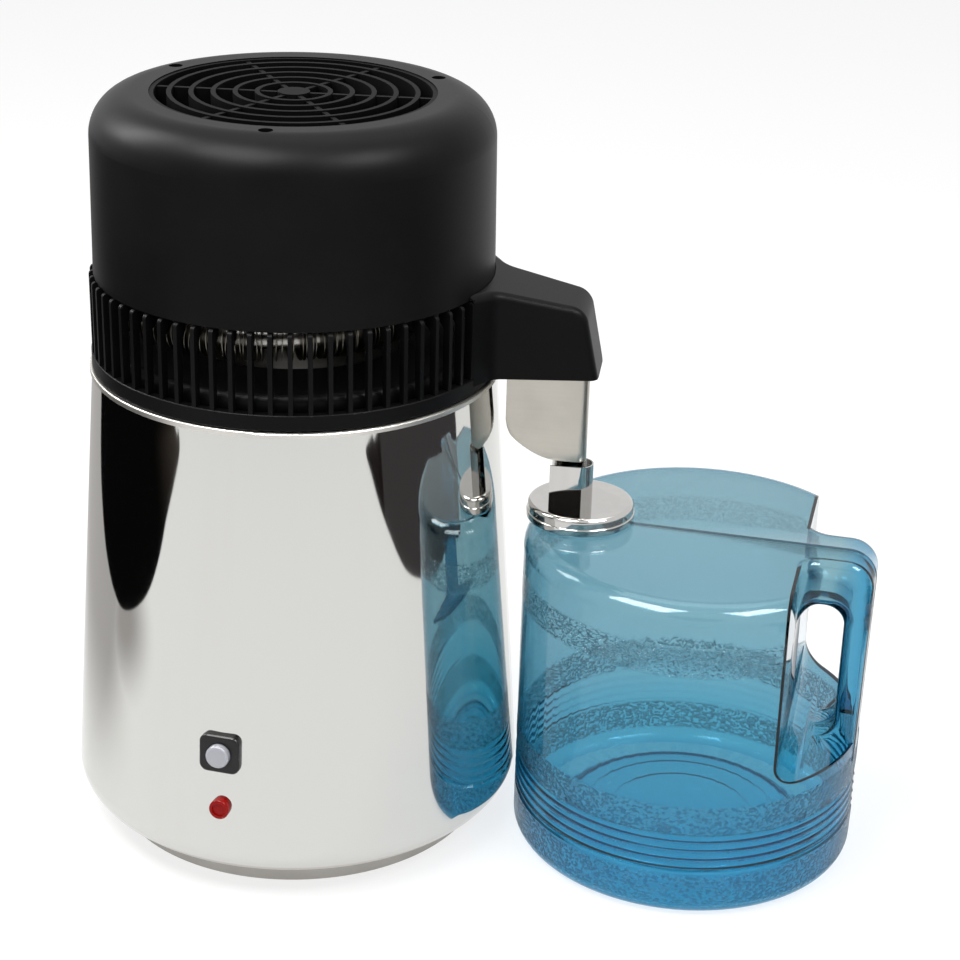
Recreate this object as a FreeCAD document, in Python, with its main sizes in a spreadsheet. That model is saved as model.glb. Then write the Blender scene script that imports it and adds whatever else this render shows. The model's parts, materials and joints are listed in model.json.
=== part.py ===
import FreeCAD, Part
import math
import os
import Sketcher
from FreeCAD import Placement, Rotation, Vector

# Countertop water distiller: a stainless boiling unit, a lift-off fan and condenser head with a
# spout arm, and a plastic collecting jug with a steel cap. Millimetres, +Z up. The origin is on the
# boiling unit's axis at counter level, and +X runs along the spout arm towards the jug.

DIMENSIONS = [
    ("SteelGauge", 0.8, "sheet of the housing, pan, tank rim and cap"),
    ("StandHeight", 11.2, "foot of the housing over the counter"),
    ("ConeFootRadius", 116.2, "housing cone carried down to its foot"),
    ("HousingLip", 17.2, "turned-in underside of the housing"),
    ("CurlRadius", 15.4, "rolled lower edge of the housing"),
    ("HousingTop", 242.0, "upper edge of the housing"),
    ("HousingTopRadius", 99.6, "housing radius at its upper edge"),
    ("PanInset", 2.1, "base band in from the opening in the underside"),
    ("PanRim", 0.6, "lower edge of the base band over the counter"),
    ("PanFloor", 3.0, "underside of the pan floor, and height of the feet"),
    ("PanFlange", 20.0, "top of the flange that carries the housing"),
    ("FlangeInset", 4.0, "edge of that flange in from the foot of the cone"),
    ("VentHoleRadius", 3.0, "cooling holes in the pan"),
    ("VentHoleCircle", 52.0, "pitch circle of the cooling holes"),
    ("VentHoles", 12, "number of cooling holes"),
    ("FootRadius", 9.0, "rubber foot"),
    ("FootInset", 16.9, "centres of the feet in from the base band"),
    ("Feet", 4, "number of feet"),
    ("TankInset", 8.6, "inside of the boiling tank in from the housing's upper edge"),
    ("TankFloor", 92.0, "inside of the tank floor"),
    ("TankCorner", 12.0, "rounding between tank wall and floor"),
    ("RimOverhang", 1.1, "tank's rolled rim out over the housing's upper edge"),
    ("RimDrop", 1.8, "how far the rolled rim hangs down outside"),
    ("RimClearance", 0.2, "rolled rim to housing"),
    ("HeaterRadius", 70.0, "heater plate"),
    ("HeaterThickness", 5.0, "heater plate"),
    ("ElementCircle", 52.0, "centre line of the heating element"),
    ("ElementRadius", 4.0, "heating element tube"),
    ("ElementTerminals", 14.0, "length of the cold ends"),
    ("StatRadius", 12.0, "boil-dry thermostat"),
    ("StatHeight", 9.0, "boil-dry thermostat"),
    ("PanelTurn", -97.6, "direction of the control panel about the axis"),
    ("ButtonDrop", 12.5, "centre of the button below the tank's floor"),
    ("BezelWidth", 20.4, "button bezel across"),
    ("BezelTall", 19.4, "button bezel from top to bottom"),
    ("BezelCorner", 4.2, "corner rounding of the bezel"),
    ("BezelProud", 3.0, "bezel face over the housing"),
    ("BezelBodyWidth", 16.8, "part of the bezel inside the housing"),
    ("BezelDepth", 12.0, "depth of the bezel behind the housing"),
    ("ButtonRadius", 5.75, "push button"),
    ("ButtonPressed", 0.9, "button face over the bezel face when pushed in"),
    ("ButtonTravel", 2.5, "button stroke"),
    ("ButtonClearance", 0.35, "button to bezel bore"),
    ("ButtonSkirt", 6.0, "length of the button below the bezel face"),
    ("StemRadius", 2.6, "button stem"),
    ("StemLength", 10.0, "button stem below the skirt"),
    ("SwitchWidth", 17.0, "switch body"),
    ("SwitchDepth", 20.0, "switch body"),
    ("IndicatorDrop", 29.5, "centre of the indicator below the button"),
    ("LensRadius", 5.0, "flange of the indicator lens"),
    ("LensProud", 3.4, "lens over the housing"),
    ("LensBarrel", 3.9, "lens barrel through the housing"),
    ("LensDepth", 9.0, "barrel depth behind the housing"),
    ("RearTurn", 82.0, "direction of the mains inlet about the axis"),
    ("InletHeight", 52.0, "centre of the mains inlet"),
    ("InletWidth", 31.0, "flange of the mains inlet"),
    ("InletTall", 24.5, "flange of the mains inlet"),
    ("InletBodyWidth", 27.0, "body of the mains inlet"),
    ("InletBodyTall", 20.0, "body of the mains inlet"),
    ("InletDepth", 17.0, "depth of the inlet body"),
    ("InletRecessWidth", 24.0, "recess that takes the connector"),
    ("InletRecessTall", 16.4, "recess that takes the connector"),
    ("InletProud", 2.0, "inlet flange over the housing"),
    ("PinWidth", 2.0, "inlet pin"),
    ("PinTall", 4.0, "inlet pin"),
    ("PinPitch", 7.0, "inlet pin spacing"),
    ("PinDrop", 2.0, "outer pins below the centre line"),
    ("OutletHeight", 92.0, "centre of the fan outlet"),
    ("OutletWidth", 22.0, "flange of the fan outlet and fan inlet"),
    ("OutletTall", 17.0, "flange of the fan outlet and fan inlet"),
    ("OutletRecessWidth", 14.0, "recess for the fan lead's plug"),
    ("OutletRecessTall", 9.0, "recess for the fan lead's plug"),
    ("OutletDepth", 14.0, "depth of the fan outlet"),
    ("TerminalWidth", 30.0, "terminal block"),
    ("TerminalDepth", 14.0, "terminal block"),
    ("TerminalHeight", 11.2, "terminal block"),
    ("TerminalReach", 62.0, "terminal block from the axis"),
    ("FittingClearance", 0.2, "panel fittings in their housing holes"),
    ("FittingWall", 1.4, "walls of the moulded panel fittings"),
    ("HeadGap", 0.3, "head over the tank rim"),
    ("GasketThickness", 2.0, "lid gasket"),
    ("LidGauge", 1.0, "steam lid"),
    ("LidPlug", 9.0, "depth of the lid's plug in the tank"),
    ("LidClearance", 3.0, "lid plug to tank wall"),
    ("SteamBore", 5.2, "steam opening in the lid"),
    ("RimHeight", 8.0, "solid lower rim of the vent ring"),
    ("VentStep", 1.1, "vent ring in from the tank's rolled rim"),
    ("VentWall", 2.6, "wall of the vent ring's rim"),
    ("SlatPitches", 68, "slat pitches round the full circle"),
    ("SlatsLeftOut", 7, "pitches taken up by the spout arm"),
    ("SlatWidth", 2.1, "slat"),
    ("SlatDepth", 3.8, "slat"),
    ("SlatTip", 1.8, "rounding at the upper end of a slat"),
    ("DomeEdge", 47.0, "lower edge of the dome over the head's seat"),
    ("DomeTop", 133.2, "top of the dome over the head's seat"),
    ("DomeStep", 2.4, "lower edge of the dome in from the vent ring"),
    ("DomeTaper", 1.2, "how far the dome's side comes in up to its top"),
    ("ShoulderRadius", 20.0, "rounded shoulder of the dome"),
    ("DomeWall", 2.6, "dome moulding"),
    ("DomeBorder", 28.2, "fan opening in from the dome's side"),
    ("GrilleDepth", 10.0, "depth of the grille rings"),
    ("GrilleDrop", 0.5, "grille below the dome's top"),
    ("GrilleRib", 2.3, "thickness of rings and spokes"),
    ("GrilleHub", 7.6, "grille hub"),
    ("GrilleRings", 5, "number of rings between hub and rim"),
    ("GrilleFirst", 17.2, "radius of the first ring"),
    ("GrilleMargin", 9.4, "last ring in from the edge of the fan opening"),
    ("GrilleSpokes", 6, "number of spokes"),
    ("GrilleTurn", 2.5, "direction of the first spoke"),
    ("GrilleFlange", 1.4, "grille flange under the dome's top"),
    ("ScrewInset", 6.7, "head screws out from the fan opening"),
    ("HeadScrews", 3, "number of head screws"),
    ("BossRadius", 5.0, "screw bosses under the dome's top"),
    ("CounterboreRadius", 3.4, "recess for a head screw"),
    ("ScrewRadius", 1.5, "shank of the screws"),
    ("ScrewHead", 2.9, "radius of the screw heads"),
    ("ScrewClearance", 0.1, "screw to hole"),
    ("BracketDrop", 32.2, "underside of the motor bracket below the dome's top"),
    ("BracketGauge", 1.5, "motor bracket"),
    ("BracketHub", 31.0, "motor bracket hub"),
    ("BracketArm", 11.0, "width of a bracket arm"),
    ("StackHeight", 18.0, "motor laminations"),
    ("StackWidth", 56.0, "motor laminations"),
    ("StackDepth", 46.0, "motor laminations"),
    ("CapRadius", 15.0, "motor bearing caps"),
    ("CapHeight", 8.0, "motor bearing caps"),
    ("RotorRadius", 11.0, "motor rotor"),
    ("RotorGap", 0.5, "rotor to laminations"),
    ("ShaftRadius", 2.5, "fan shaft"),
    ("ShaftClearance", 0.08, "fan shaft in its bearings"),
    ("FanHubRadius", 15.0, "fan hub"),
    ("FanHubHeight", 14.0, "fan hub"),
    ("FanHubGap", 5.0, "fan hub below the motor"),
    ("FanTip", 5.8, "fan blade tips in from the fan opening"),
    ("FanBlades", 5, "number of fan blades"),
    ("FanBladeWidth", 26.0, "fan blade across its length"),
    ("FanBladeThickness", 1.8, "fan blade"),
    ("FanBladePitch", 26.0, "angle of the fan blades"),
    ("CoilHeight", 34.0, "centre line of the condenser coil over the seat"),
    ("FinGap", 1.9, "condenser fins to the slats"),
    ("CoilPitch", 22.0, "spacing between turns"),
    ("CoilHalfTurns", 5, "half turns of the coil"),
    ("CoilTube", 4.2, "condenser tube radius"),
    ("TubeWall", 0.5, "wall of the condenser tube and the drip tube"),
    ("CoilBend", 16.0, "bends at the ends of the coil"),
    ("FinRadius", 10.0, "condenser fin"),
    ("FinThickness", 0.4, "condenser fin"),
    ("FinPitch", 4.6, "spacing between fins"),
    ("TrayTop", 15.0, "top of the air tray over the seat"),
    ("TrayGap", 1.8, "air tray to the slats"),
    ("TrayWall", 2.0, "air tray"),
    ("TrayRound", 4.0, "rounded outer edge of the tray"),
    ("TrayOpening", 58.0, "opening in the middle of the tray"),
    ("ArmRoot", 23.4, "half width of the arm beside the ring"),
    ("ArmFlare", 36.0, "half width where the arm meets the ring"),
    ("ArmTip", 16.4, "half width of the arm at its end face"),
    ("ArmLength", 51.2, "end of the arm beyond the vent ring"),
    ("ArmBottom", 4.0, "underside of the arm over the seat"),
    ("ArmTop", 50.0, "top of the arm where it starts inside the ring, over the seat"),
    ("ArmNose", 7.2, "how far the arm's end face leans back"),
    ("ArmKnuckle", 10.0, "rounding between the arm's top and its end face"),
    ("ArmShoulder", 39.3, "corner between the arm's top and its end face, over the seat"),
    ("ArmWall", 2.2, "arm moulding"),
    ("ArmCorner", 5.0, "upright corners of the arm's end"),
    ("ArmEdge", 4.0, "rounded edges of the arm"),
    ("BladeGauge", 0.8, "spout blade"),
    ("BladeHalfWidth", 4.4, "half width of the spout blade"),
    ("BladeStart", 6.0, "open side of the blade beyond the vent ring"),
    ("BladeMargin", 4.9, "folded side of the blade in from the arm's end"),
    ("BladeGap", 1.8, "lowest point of the blade over the cap's guide"),
    ("BladeHidden", 15.0, "length of the blade inside the arm"),
    ("DripSlack", 0.4, "drip tube to the walls of the blade"),
    ("DripBend", 12.0, "bends of the drip tube"),
    ("DripInset", 22.8, "vertical run of the drip tube in from the arm's end"),
    ("DripFall", 6.0, "fall of the drip tube along the arm"),
    ("DripClearance", 2.0, "drip tube in the ring's panel"),
    ("DripAbove", 15.1, "lower end of the drip tube over the blade's tip"),
    ("MouthInset", 6.6, "centre of the jug's mouth in from the arm's end"),
    ("MouthMargin", 26.8, "centre of the mouth in from the jug's wall"),
    ("JugTurn", -5.9, "direction of the jug's handle"),
    ("JugRadius", 87.4, "jug"),
    ("JugWall", 1.8, "jug"),
    ("JugTop", 168.0, "top of the jug"),
    ("JugFootRound", 8.0, "lower edge of the jug"),
    ("JugShoulder", 10.0, "upper edge of the jug"),
    ("JugPush", 5.0, "raised middle of the jug's floor"),
    ("JugSeatWidth", 14.0, "width of the ring that the jug stands on"),
    ("GripDepth", 34.8, "depth of the grip recesses"),
    ("GripFloor", 70.0, "floor of the grip recesses"),
    ("HandleRoof", 25.0, "top of the finger gap below the jug's top"),
    ("GripRound", 10.0, "roundings of the finger gap"),
    ("GripSink", 0.5, "rounded end of the finger gap set behind the recesses' wall"),
    ("GripCorner", 11.0, "rounding between the recesses' wall and floor"),
    ("HandleTaper", 1.2, "how far the handle's outer face comes in towards its foot"),
    ("HandleFillet", 12.0, "fillets where the handle leaves the jug's wall"),
    ("HandleDepth", 13.0, "handle from its inner to its outer face"),
    ("HandleProud", 0.6, "top of the handle's outer face beyond the drum"),
    ("HandleHalfWidth", 18.0, "half width of the handle"),
    ("HandleCrown", 14.0, "rounding at the top of the handle"),
    ("HandleEdge", 5.6, "rounded edges of the handle"),
    ("PedestalStep", 2.8, "raised seat of the jug's neck out from the neck"),
    ("PedestalRise", 1.6, "top of that seat over the jug's top"),
    ("NeckRadius", 22.0, "jug's neck"),
    ("NeckRise", 7.6, "jug's neck over the jug's top"),
    ("NeckWall", 2.0, "jug's neck"),
    ("CapRise", 2.0, "top of the cap over the jug's neck"),
    ("CapClearance", 0.9, "cap's skirt to the seat of the neck"),
    ("HemStep", 0.6, "hem of the cap out from its skirt"),
    ("CapHem", 3.6, "height of the hem"),
    ("CapDepth", 8.8, "cap from its lower edge to its top"),
    ("CapEdge", 2.4, "rounded upper edge of the cap"),
    ("CapDrain", 4.6, "drain hole in the cap"),
    ("ChimneyHeight", 19.5, "upright guide on the cap"),
    ("ChimneyGauge", 0.7, "upright guide on the cap"),
    ("ChimneyHalfWidth", 6.8, "half width of the guide"),
    ("ChimneyBack", 15.6, "open side of the guide from the mouth's centre"),
    ("ChimneyFront", 5.5, "folded side of the guide from the mouth's centre"),
    ("LinerInset", 2.1, "cap liner in from the cap's skirt"),
    ("LinerThickness", 1.0, "cap liner"),
]


class Size:
    """A size that carries its value and the spreadsheet expression that gives it."""

    def __init__(self, value, text=None):
        self.value = value
        self.text = text if text is not None else "({:.6f})".format(value)

    def __add__(self, other):
        other = asSize(other)
        return Size(self.value + other.value, "({} + {})".format(self.text, other.text))

    def __radd__(self, other):
        return asSize(other) + self

    def __sub__(self, other):
        other = asSize(other)
        return Size(self.value - other.value, "({} - {})".format(self.text, other.text))

    def __rsub__(self, other):
        return asSize(other) - self

    def __mul__(self, other):
        other = asSize(other)
        return Size(self.value * other.value, "({} * {})".format(self.text, other.text))

    def __rmul__(self, other):
        return asSize(other) * self

    def __truediv__(self, other):
        other = asSize(other)
        return Size(self.value / other.value, "({} / {})".format(self.text, other.text))

    def __rtruediv__(self, other):
        return asSize(other) / self

    def __neg__(self):
        return Size(-self.value, "(0 - {})".format(self.text))


def asSize(number):
    return number if isinstance(number, Size) else Size(number)


class Sheet:
    """The driving dimensions as a spreadsheet; sheet.Name gives the named Size."""

    def __init__(self, document, rows):
        self.cells = document.addObject("Spreadsheet::Sheet", "Sizes")
        self.values = {}
        for row, (name, value, note) in enumerate(rows, start=1):
            self.cells.set("A{}".format(row), name)
            self.cells.set("B{}".format(row), str(value))
            self.cells.setAlias("B{}".format(row), name)
            self.cells.set("C{}".format(row), note)
            self.values[name] = value

    def __getattr__(self, name):
        if name in ("cells", "values") or name not in self.values:
            raise AttributeError(name)
        return Size(self.values[name], "Sizes." + name)


doc = FreeCAD.newDocument("Distiller")
sheet = Sheet(doc, DIMENSIONS)
doc.recompute()
nodes = {}
HOME = Placement()


# ---- drawing and feature helpers ------------------------------------------------------------

def bind(thing, **sizes):
    """Bind each named property to a Size's expression."""
    for name, size in sizes.items():
        thing.setExpression(name.replace("__", "."), asSize(size).text)
    return thing


def keep(thing, label):
    """Name a finished sub-part; its label is the name of its file."""
    thing.Label = label
    nodes[label] = thing
    return thing


def newBody(name, frame=HOME):
    body = doc.addObject("PartDesign::Body", name)
    body.Placement = frame
    return body


def newSketch(body, role, lift=None, turn=None):
    """A sketch on one of the body's own planes, raised by lift and turned about +Z by turn."""
    plane = [feature for feature in body.Origin.OriginFeatures if feature.Role == role][0]
    sketch = body.newObject("Sketcher::SketchObject", body.Name + "Sketch")
    sketch.AttachmentSupport = [(plane, "")]
    sketch.MapMode = "FlatFace"
    if turn is not None:
        sketch.AttachmentOffset = Placement(Vector(), Rotation(Vector(0, 1, 0), turn))
    if lift is not None:
        sketch.AttachmentOffset = Placement(Vector(0, 0, asSize(lift).value), Rotation())
        bind(sketch, AttachmentOffset__Base__z=lift)
    return sketch


def fixPoint(sketch, geometry, position, x, y):
    """Hold a sketch point at (x, y), both bound to the sheet."""
    for kind, size in (("DistanceX", asSize(x)), ("DistanceY", asSize(y))):
        index = sketch.addConstraint(Sketcher.Constraint(kind, -1, 1, geometry, position, size.value))
        sketch.setExpression("Constraints[{}]".format(index), size.text)


def unit(start, end):
    step = end - start
    return step * (1.0 / step.Length)


def outline(sketch, corners):
    """Close an outline through corners (x, y) or, for a rounded one, (x, y, radius)."""
    places = [Vector(asSize(c[0]).value, asSize(c[1]).value, 0) for c in corners]
    count = len(corners)
    ends = []
    for i, corner in enumerate(corners):
        before, here, after = places[i - 1], places[i], places[(i + 1) % count]
        if len(corner) < 3:
            ends.append((here, here, None))
            continue
        radius = asSize(corner[2])
        back, ahead = unit(here, before), unit(here, after)
        opening = back.getAngle(ahead)
        reach = radius.value / math.tan(opening / 2)
        centre = here + unit(Vector(), back + ahead) * (radius.value / math.sin(opening / 2))
        ends.append((here + back * reach, here + ahead * reach, centre))
    lines = []
    for i in range(count):
        lines.append(sketch.addGeometry(Part.LineSegment(ends[i][1], ends[(i + 1) % count][0])))
    for i, corner in enumerate(corners):
        incoming, outgoing = lines[i - 1], lines[i]
        if len(corner) < 3:
            sketch.addConstraint(Sketcher.Constraint("Coincident", incoming, 2, outgoing, 1))
            fixPoint(sketch, outgoing, 1, corner[0], corner[1])
            continue
        start, end, centre = ends[i]
        leftTurn = (start - centre).cross(end - centre).z > 0
        first, last = (1, 2) if leftTurn else (2, 1)
        opens, closes = (start, end) if leftTurn else (end, start)
        full = Part.Circle(centre, Vector(0, 0, 1), asSize(corner[2]).value)
        opens, closes = full.parameter(opens), full.parameter(closes)
        arc = sketch.addGeometry(Part.ArcOfCircle(full, opens, closes))
        point = sketch.addGeometry(Part.Point(places[i]), True)
        fixPoint(sketch, point, 1, corner[0], corner[1])
        sketch.addConstraint(Sketcher.Constraint("PointOnObject", point, 1, incoming))
        sketch.addConstraint(Sketcher.Constraint("PointOnObject", point, 1, outgoing))
        sketch.addConstraint(Sketcher.Constraint("Tangent", incoming, 2, arc, first))
        sketch.addConstraint(Sketcher.Constraint("Tangent", arc, last, outgoing, 1))
        radius = asSize(corner[2])
        index = sketch.addConstraint(Sketcher.Constraint("Radius", arc, radius.value))
        sketch.setExpression("Constraints[{}]".format(index), radius.text)
    return sketch


def circle(sketch, x, y, radius):
    x, y, radius = asSize(x), asSize(y), asSize(radius)
    round_ = sketch.addGeometry(Part.Circle(Vector(x.value, y.value, 0), Vector(0, 0, 1), radius.value))
    fixPoint(sketch, round_, 3, x, y)
    index = sketch.addConstraint(Sketcher.Constraint("Radius", round_, radius.value))
    sketch.setExpression("Constraints[{}]".format(index), radius.text)
    return sketch


def revolution(body, corners, angle=None, kind="PartDesign::Revolution"):
    """Turn an (r, z) outline about the body's Z axis."""
    sketch = outline(newSketch(body, "XZ_Plane"), corners)
    feature = body.newObject(kind, body.Name + "Turned")
    feature.Profile = sketch
    feature.ReferenceAxis = (sketch, ["V_Axis"])
    feature.Angle = 360
    if angle is not None:
        feature.Midplane = True
        bind(feature, Angle=angle)
    return feature


def pad(body, sketch, length, symmetric=False, kind="PartDesign::Pad", reverse=False):
    feature = body.newObject(kind, body.Name + "Raised")
    feature.Profile = sketch
    feature.SideType = "Symmetric" if symmetric else "One side"
    feature.Reversed = reverse
    bind(feature, Length=length)
    return feature


def polar(body, features, count, angle=None):
    """Repeat features about the body's Z axis."""
    pattern = body.newObject("PartDesign::PolarPattern", body.Name + "Pattern")
    pattern.Originals = features
    pattern.Axis = (features[0].Profile[0], ["N_Axis"])
    if angle is None:
        pattern.Angle = 360
    else:
        pattern.Axis = (features[0].Profile[0], ["V_Axis"])
        bind(pattern, Angle=angle)
    bind(pattern, Occurrences=count)
    body.Tip = pattern
    return pattern


def turned(label, corners, frame=HOME):
    """A sub-part made by one revolution."""
    body = newBody(label, frame)
    revolution(body, corners)
    return keep(body, label)


def cylinder(name, radius, low, high, x=0, y=0, frame=HOME):
    """An upright cylinder between two heights of its frame."""
    solid = doc.addObject("Part::Cylinder", name)
    low, high, x, y = asSize(low), asSize(high), asSize(x), asSize(y)
    bind(solid, Radius=radius, Height=high - low)
    solid.Placement = frame.multiply(Placement(Vector(x.value, y.value, low.value), Rotation()))
    return solid


def block(name, width, tall, low, high, frame=HOME, x=0, y=0):
    """A box centred on (x, y) of its frame, between two heights of the frame."""
    solid = doc.addObject("Part::Box", name)
    width, tall, low, high = asSize(width), asSize(tall), asSize(low), asSize(high)
    bind(solid, Length=width, Width=tall, Height=high - low)
    corner = Vector(asSize(x).value - width.value / 2, asSize(y).value - tall.value / 2, low.value)
    solid.Placement = frame.multiply(Placement(corner, Rotation()))
    return solid


def rounded(solid, radius, choose):
    """Round the edges of a solid that choose(middle, direction) picks in the document's frame."""
    doc.recompute()
    picked = []
    for number, edge in enumerate(solid.Shape.Edges, start=1):
        middle = edge.valueAt((edge.FirstParameter + edge.LastParameter) / 2)
        direction = edge.tangentAt((edge.FirstParameter + edge.LastParameter) / 2)
        if choose(middle, direction):
            picked.append((number, asSize(radius).value, asSize(radius).value))
    result = doc.addObject("Part::Fillet", solid.Name + "Rounded")
    result.Base = solid
    result.Edges = picked
    return result


def uprightRounded(solid, radius, frame=HOME):
    """Round the edges that run along a frame's Z axis."""
    axis = frame.Rotation.multVec(Vector(0, 0, 1))
    return rounded(solid, radius, lambda middle, direction: abs(direction.dot(axis)) > 0.999)


def cut(base, *tools):
    for tool in tools:
        result = doc.addObject("Part::Cut", base.Name + "Cut")
        result.Base = base
        result.Tool = tool
        base = result
    return base


def fused(*solids):
    result = doc.addObject("Part::MultiFuse", solids[0].Name + "Fused")
    result.Shapes = list(solids)
    return result


def shared(first, second):
    result = doc.addObject("Part::Common", first.Name + "Common")
    result.Base = first
    result.Tool = second
    return result


def shaped(label, shape):
    """A sub-part whose shape comes from Part's own functions."""
    feature = doc.addObject("Part::Feature", label)
    feature.Shape = shape
    return keep(feature, label)


def pipe(points, bends, radius):
    """A tube along straight runs joined by tangent arcs; bends holds a radius per inner point."""
    edges = []
    start = points[0]
    for i, bend in enumerate(bends, start=1):
        back, ahead = unit(points[i], points[i - 1]), unit(points[i], points[i + 1])
        opening = back.getAngle(ahead)
        reach = bend / math.tan(opening / 2)
        middle = unit(Vector(), back + ahead)
        crown = points[i] + middle * (bend / math.sin(opening / 2) - bend)
        edges.append(Part.LineSegment(start, points[i] + back * reach).toShape())
        edges.append(Part.Arc(points[i] + back * reach, crown, points[i] + ahead * reach).toShape())
        start = points[i] + ahead * reach
    edges.append(Part.LineSegment(start, points[-1]).toShape())
    return tubeAlong(Part.Wire(edges), unit(points[0], points[1]), radius)


def tubeAlong(path, direction, radius):
    """A hollow tube along a path that leaves its first point in a direction."""
    start = path.Edges[0].valueAt(path.Edges[0].FirstParameter)
    sections = [
        Part.Wire([Part.Circle(start, direction, size).toShape()])
        for size in (radius, radius - sheet.TubeWall.value)
    ]
    outer, inner = [path.makePipeShell([section], True, False) for section in sections]
    return outer.cut(inner)


# ---- places that several sub-parts share ----------------------------------------------------

footOpening = sheet.ConeFootRadius - sheet.HousingLip
panRadius = footOpening - sheet.PanInset
panInside = panRadius - sheet.SteelGauge
flangeRadius = sheet.ConeFootRadius - sheet.FlangeInset
footCircle = panRadius - sheet.FootInset
tankRadius = sheet.HousingTopRadius - sheet.TankInset
rimRadius = sheet.HousingTopRadius + sheet.RimOverhang
ventRadius = rimRadius - sheet.VentStep
domeEdgeRadius = ventRadius - sheet.DomeStep
domeSideRadius = domeEdgeRadius - sheet.DomeTaper
grilleRadius = domeSideRadius - sheet.DomeBorder
grillePitch = (grilleRadius - sheet.GrilleMargin - sheet.GrilleFirst) / (sheet.GrilleRings - 1)
screwCircle = grilleRadius + sheet.ScrewInset
fanRadius = grilleRadius - sheet.FanTip
buttonHeight = sheet.TankFloor - sheet.ButtonDrop
indicatorHeight = buttonHeight - sheet.IndicatorDrop
rimTop = sheet.HousingTop + sheet.SteelGauge
seat = rimTop + sheet.HeadGap
lidTop = seat + sheet.GasketThickness + sheet.LidGauge
domeEdge = seat + sheet.DomeEdge
domeTop = seat + sheet.DomeTop
bracketFloor = domeTop - sheet.BracketDrop
stackFloor = bracketFloor - sheet.StackHeight
capFloor = stackFloor - sheet.CapHeight
fanTop = capFloor - sheet.FanHubGap
coilLevel = seat + sheet.CoilHeight
tankOutside = tankRadius + sheet.SteelGauge
tankSeam = sheet.TankFloor + sheet.TankCorner + 1
heaterTop = sheet.TankFloor - sheet.SteelGauge
heaterFloor = heaterTop - sheet.HeaterThickness
slatOutside = ventRadius - 0.4
slatInside = slatOutside - sheet.SlatDepth
slatTop = domeEdge - 0.5
trayRadius = slatInside - sheet.TrayGap
coilRadius = slatInside - sheet.FinGap - sheet.FinRadius
armReach = ventRadius + sheet.ArmLength
bladeBack = ventRadius + sheet.BladeStart
bladeFront = armReach - sheet.BladeMargin
dripReach = armReach - sheet.DripInset
dripRadius = sheet.BladeHalfWidth - sheet.BladeGauge - sheet.DripSlack
mouthReach = armReach - sheet.MouthInset
mouthOffset = sheet.JugRadius - sheet.MouthMargin
gripWall = sheet.JugRadius - sheet.GripDepth
gripTop = sheet.JugTop - sheet.HandleRoof
handleOuter = sheet.JugRadius + sheet.HandleProud
handleInner = handleOuter - sheet.HandleDepth
pedestalRadius = sheet.NeckRadius + sheet.PedestalStep
pedestalTop = sheet.JugTop + sheet.PedestalRise
neckTop = sheet.JugTop + sheet.NeckRise
capTop = neckTop + sheet.CapRise
capBottom = capTop - sheet.CapDepth
capInside = pedestalRadius + sheet.CapClearance
capRadius = capInside + sheet.SteelGauge
capSeam = capRadius - sheet.CapEdge - 0.3
hemRadius = capRadius + sheet.HemStep
bladeTip = capTop + sheet.ChimneyHeight + sheet.BladeGap
dripEnd = bladeTip + sheet.DripAbove
screwHole = sheet.ScrewRadius + sheet.ScrewClearance
coneRun = sheet.ConeFootRadius - sheet.HousingTopRadius
coneRise = sheet.HousingTop - sheet.StandHeight
coneSlope = math.atan(coneRun.value / coneRise.value)


def onHousing(height, turn):
    """A frame on the housing's skin: Z points out, Y up the cone and X to the viewer's right."""
    radius = sheet.HousingTopRadius.value
    radius += (sheet.HousingTop.value - height.value) * math.tan(coneSlope)
    around = math.radians(turn.value)
    outward = Vector(math.cos(around), math.sin(around), 0)
    normal = outward * math.cos(coneSlope) + Vector(0, 0, math.sin(coneSlope))
    upward = Vector(0, 0, math.cos(coneSlope)) - outward * math.sin(coneSlope)
    place = outward * radius + Vector(0, 0, height.value)
    return Placement(place, Rotation(upward.cross(normal), upward, normal, "ZXY"))


buttonFrame = onHousing(buttonHeight, sheet.PanelTurn)
indicatorFrame = onHousing(indicatorHeight, sheet.PanelTurn)
inletFrame = onHousing(sheet.InletHeight, sheet.RearTurn)
outletFrame = onHousing(sheet.OutletHeight, sheet.RearTurn)
jugWay = Vector(math.cos(math.radians(sheet.JugTurn.value)), math.sin(math.radians(sheet.JugTurn.value)), 0)
mouth = Vector(mouthReach.value, 0, 0)
jugFrame = Placement(mouth + jugWay * mouthOffset.value, Rotation(Vector(0, 0, 1), sheet.JugTurn.value))
mouthFrame = Placement(mouth, Rotation())


# ---- boiling unit -----------------------------------------------------------------------------

def housingCone(name):
    """The solid inside the housing's outer skin."""
    cone = doc.addObject("Part::Cone", name)
    bind(cone, Radius1=sheet.ConeFootRadius, Radius2=sheet.HousingTopRadius, Height=coneRise)
    cone.Placement = Placement(Vector(0, 0, sheet.StandHeight.value), Rotation())
    return cone


def outerHousing():
    gauge = sheet.SteelGauge
    foot = sheet.StandHeight
    shell = newBody("outer_housing")
    revolution(shell, [
        (footOpening, foot),
        (sheet.ConeFootRadius, foot, sheet.CurlRadius),
        (sheet.HousingTopRadius, sheet.HousingTop),
        (sheet.HousingTopRadius - gauge, sheet.HousingTop),
        (sheet.ConeFootRadius - gauge, foot + gauge, sheet.CurlRadius - gauge),
        (footOpening, foot + gauge),
    ])
    slack = 2 * sheet.FittingClearance
    width = sheet.BezelBodyWidth + slack
    bezelHole = block("BezelHole", width, width, -6, 6, buttonFrame)
    lensHole = cylinder("LensHole", sheet.LensBarrel + sheet.FittingClearance, -6, 6, frame=indicatorFrame)
    inletHole = block(
        "InletHole", sheet.InletBodyWidth + slack, sheet.InletBodyTall + slack, -8, 6, inletFrame)
    outletHole = block("OutletHole", outletBody()[0] + slack, outletBody()[1] + slack, -8, 6, outletFrame)
    return keep(cut(shell, bezelHole, lensHole, inletHole, outletHole), "outer_housing")


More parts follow.
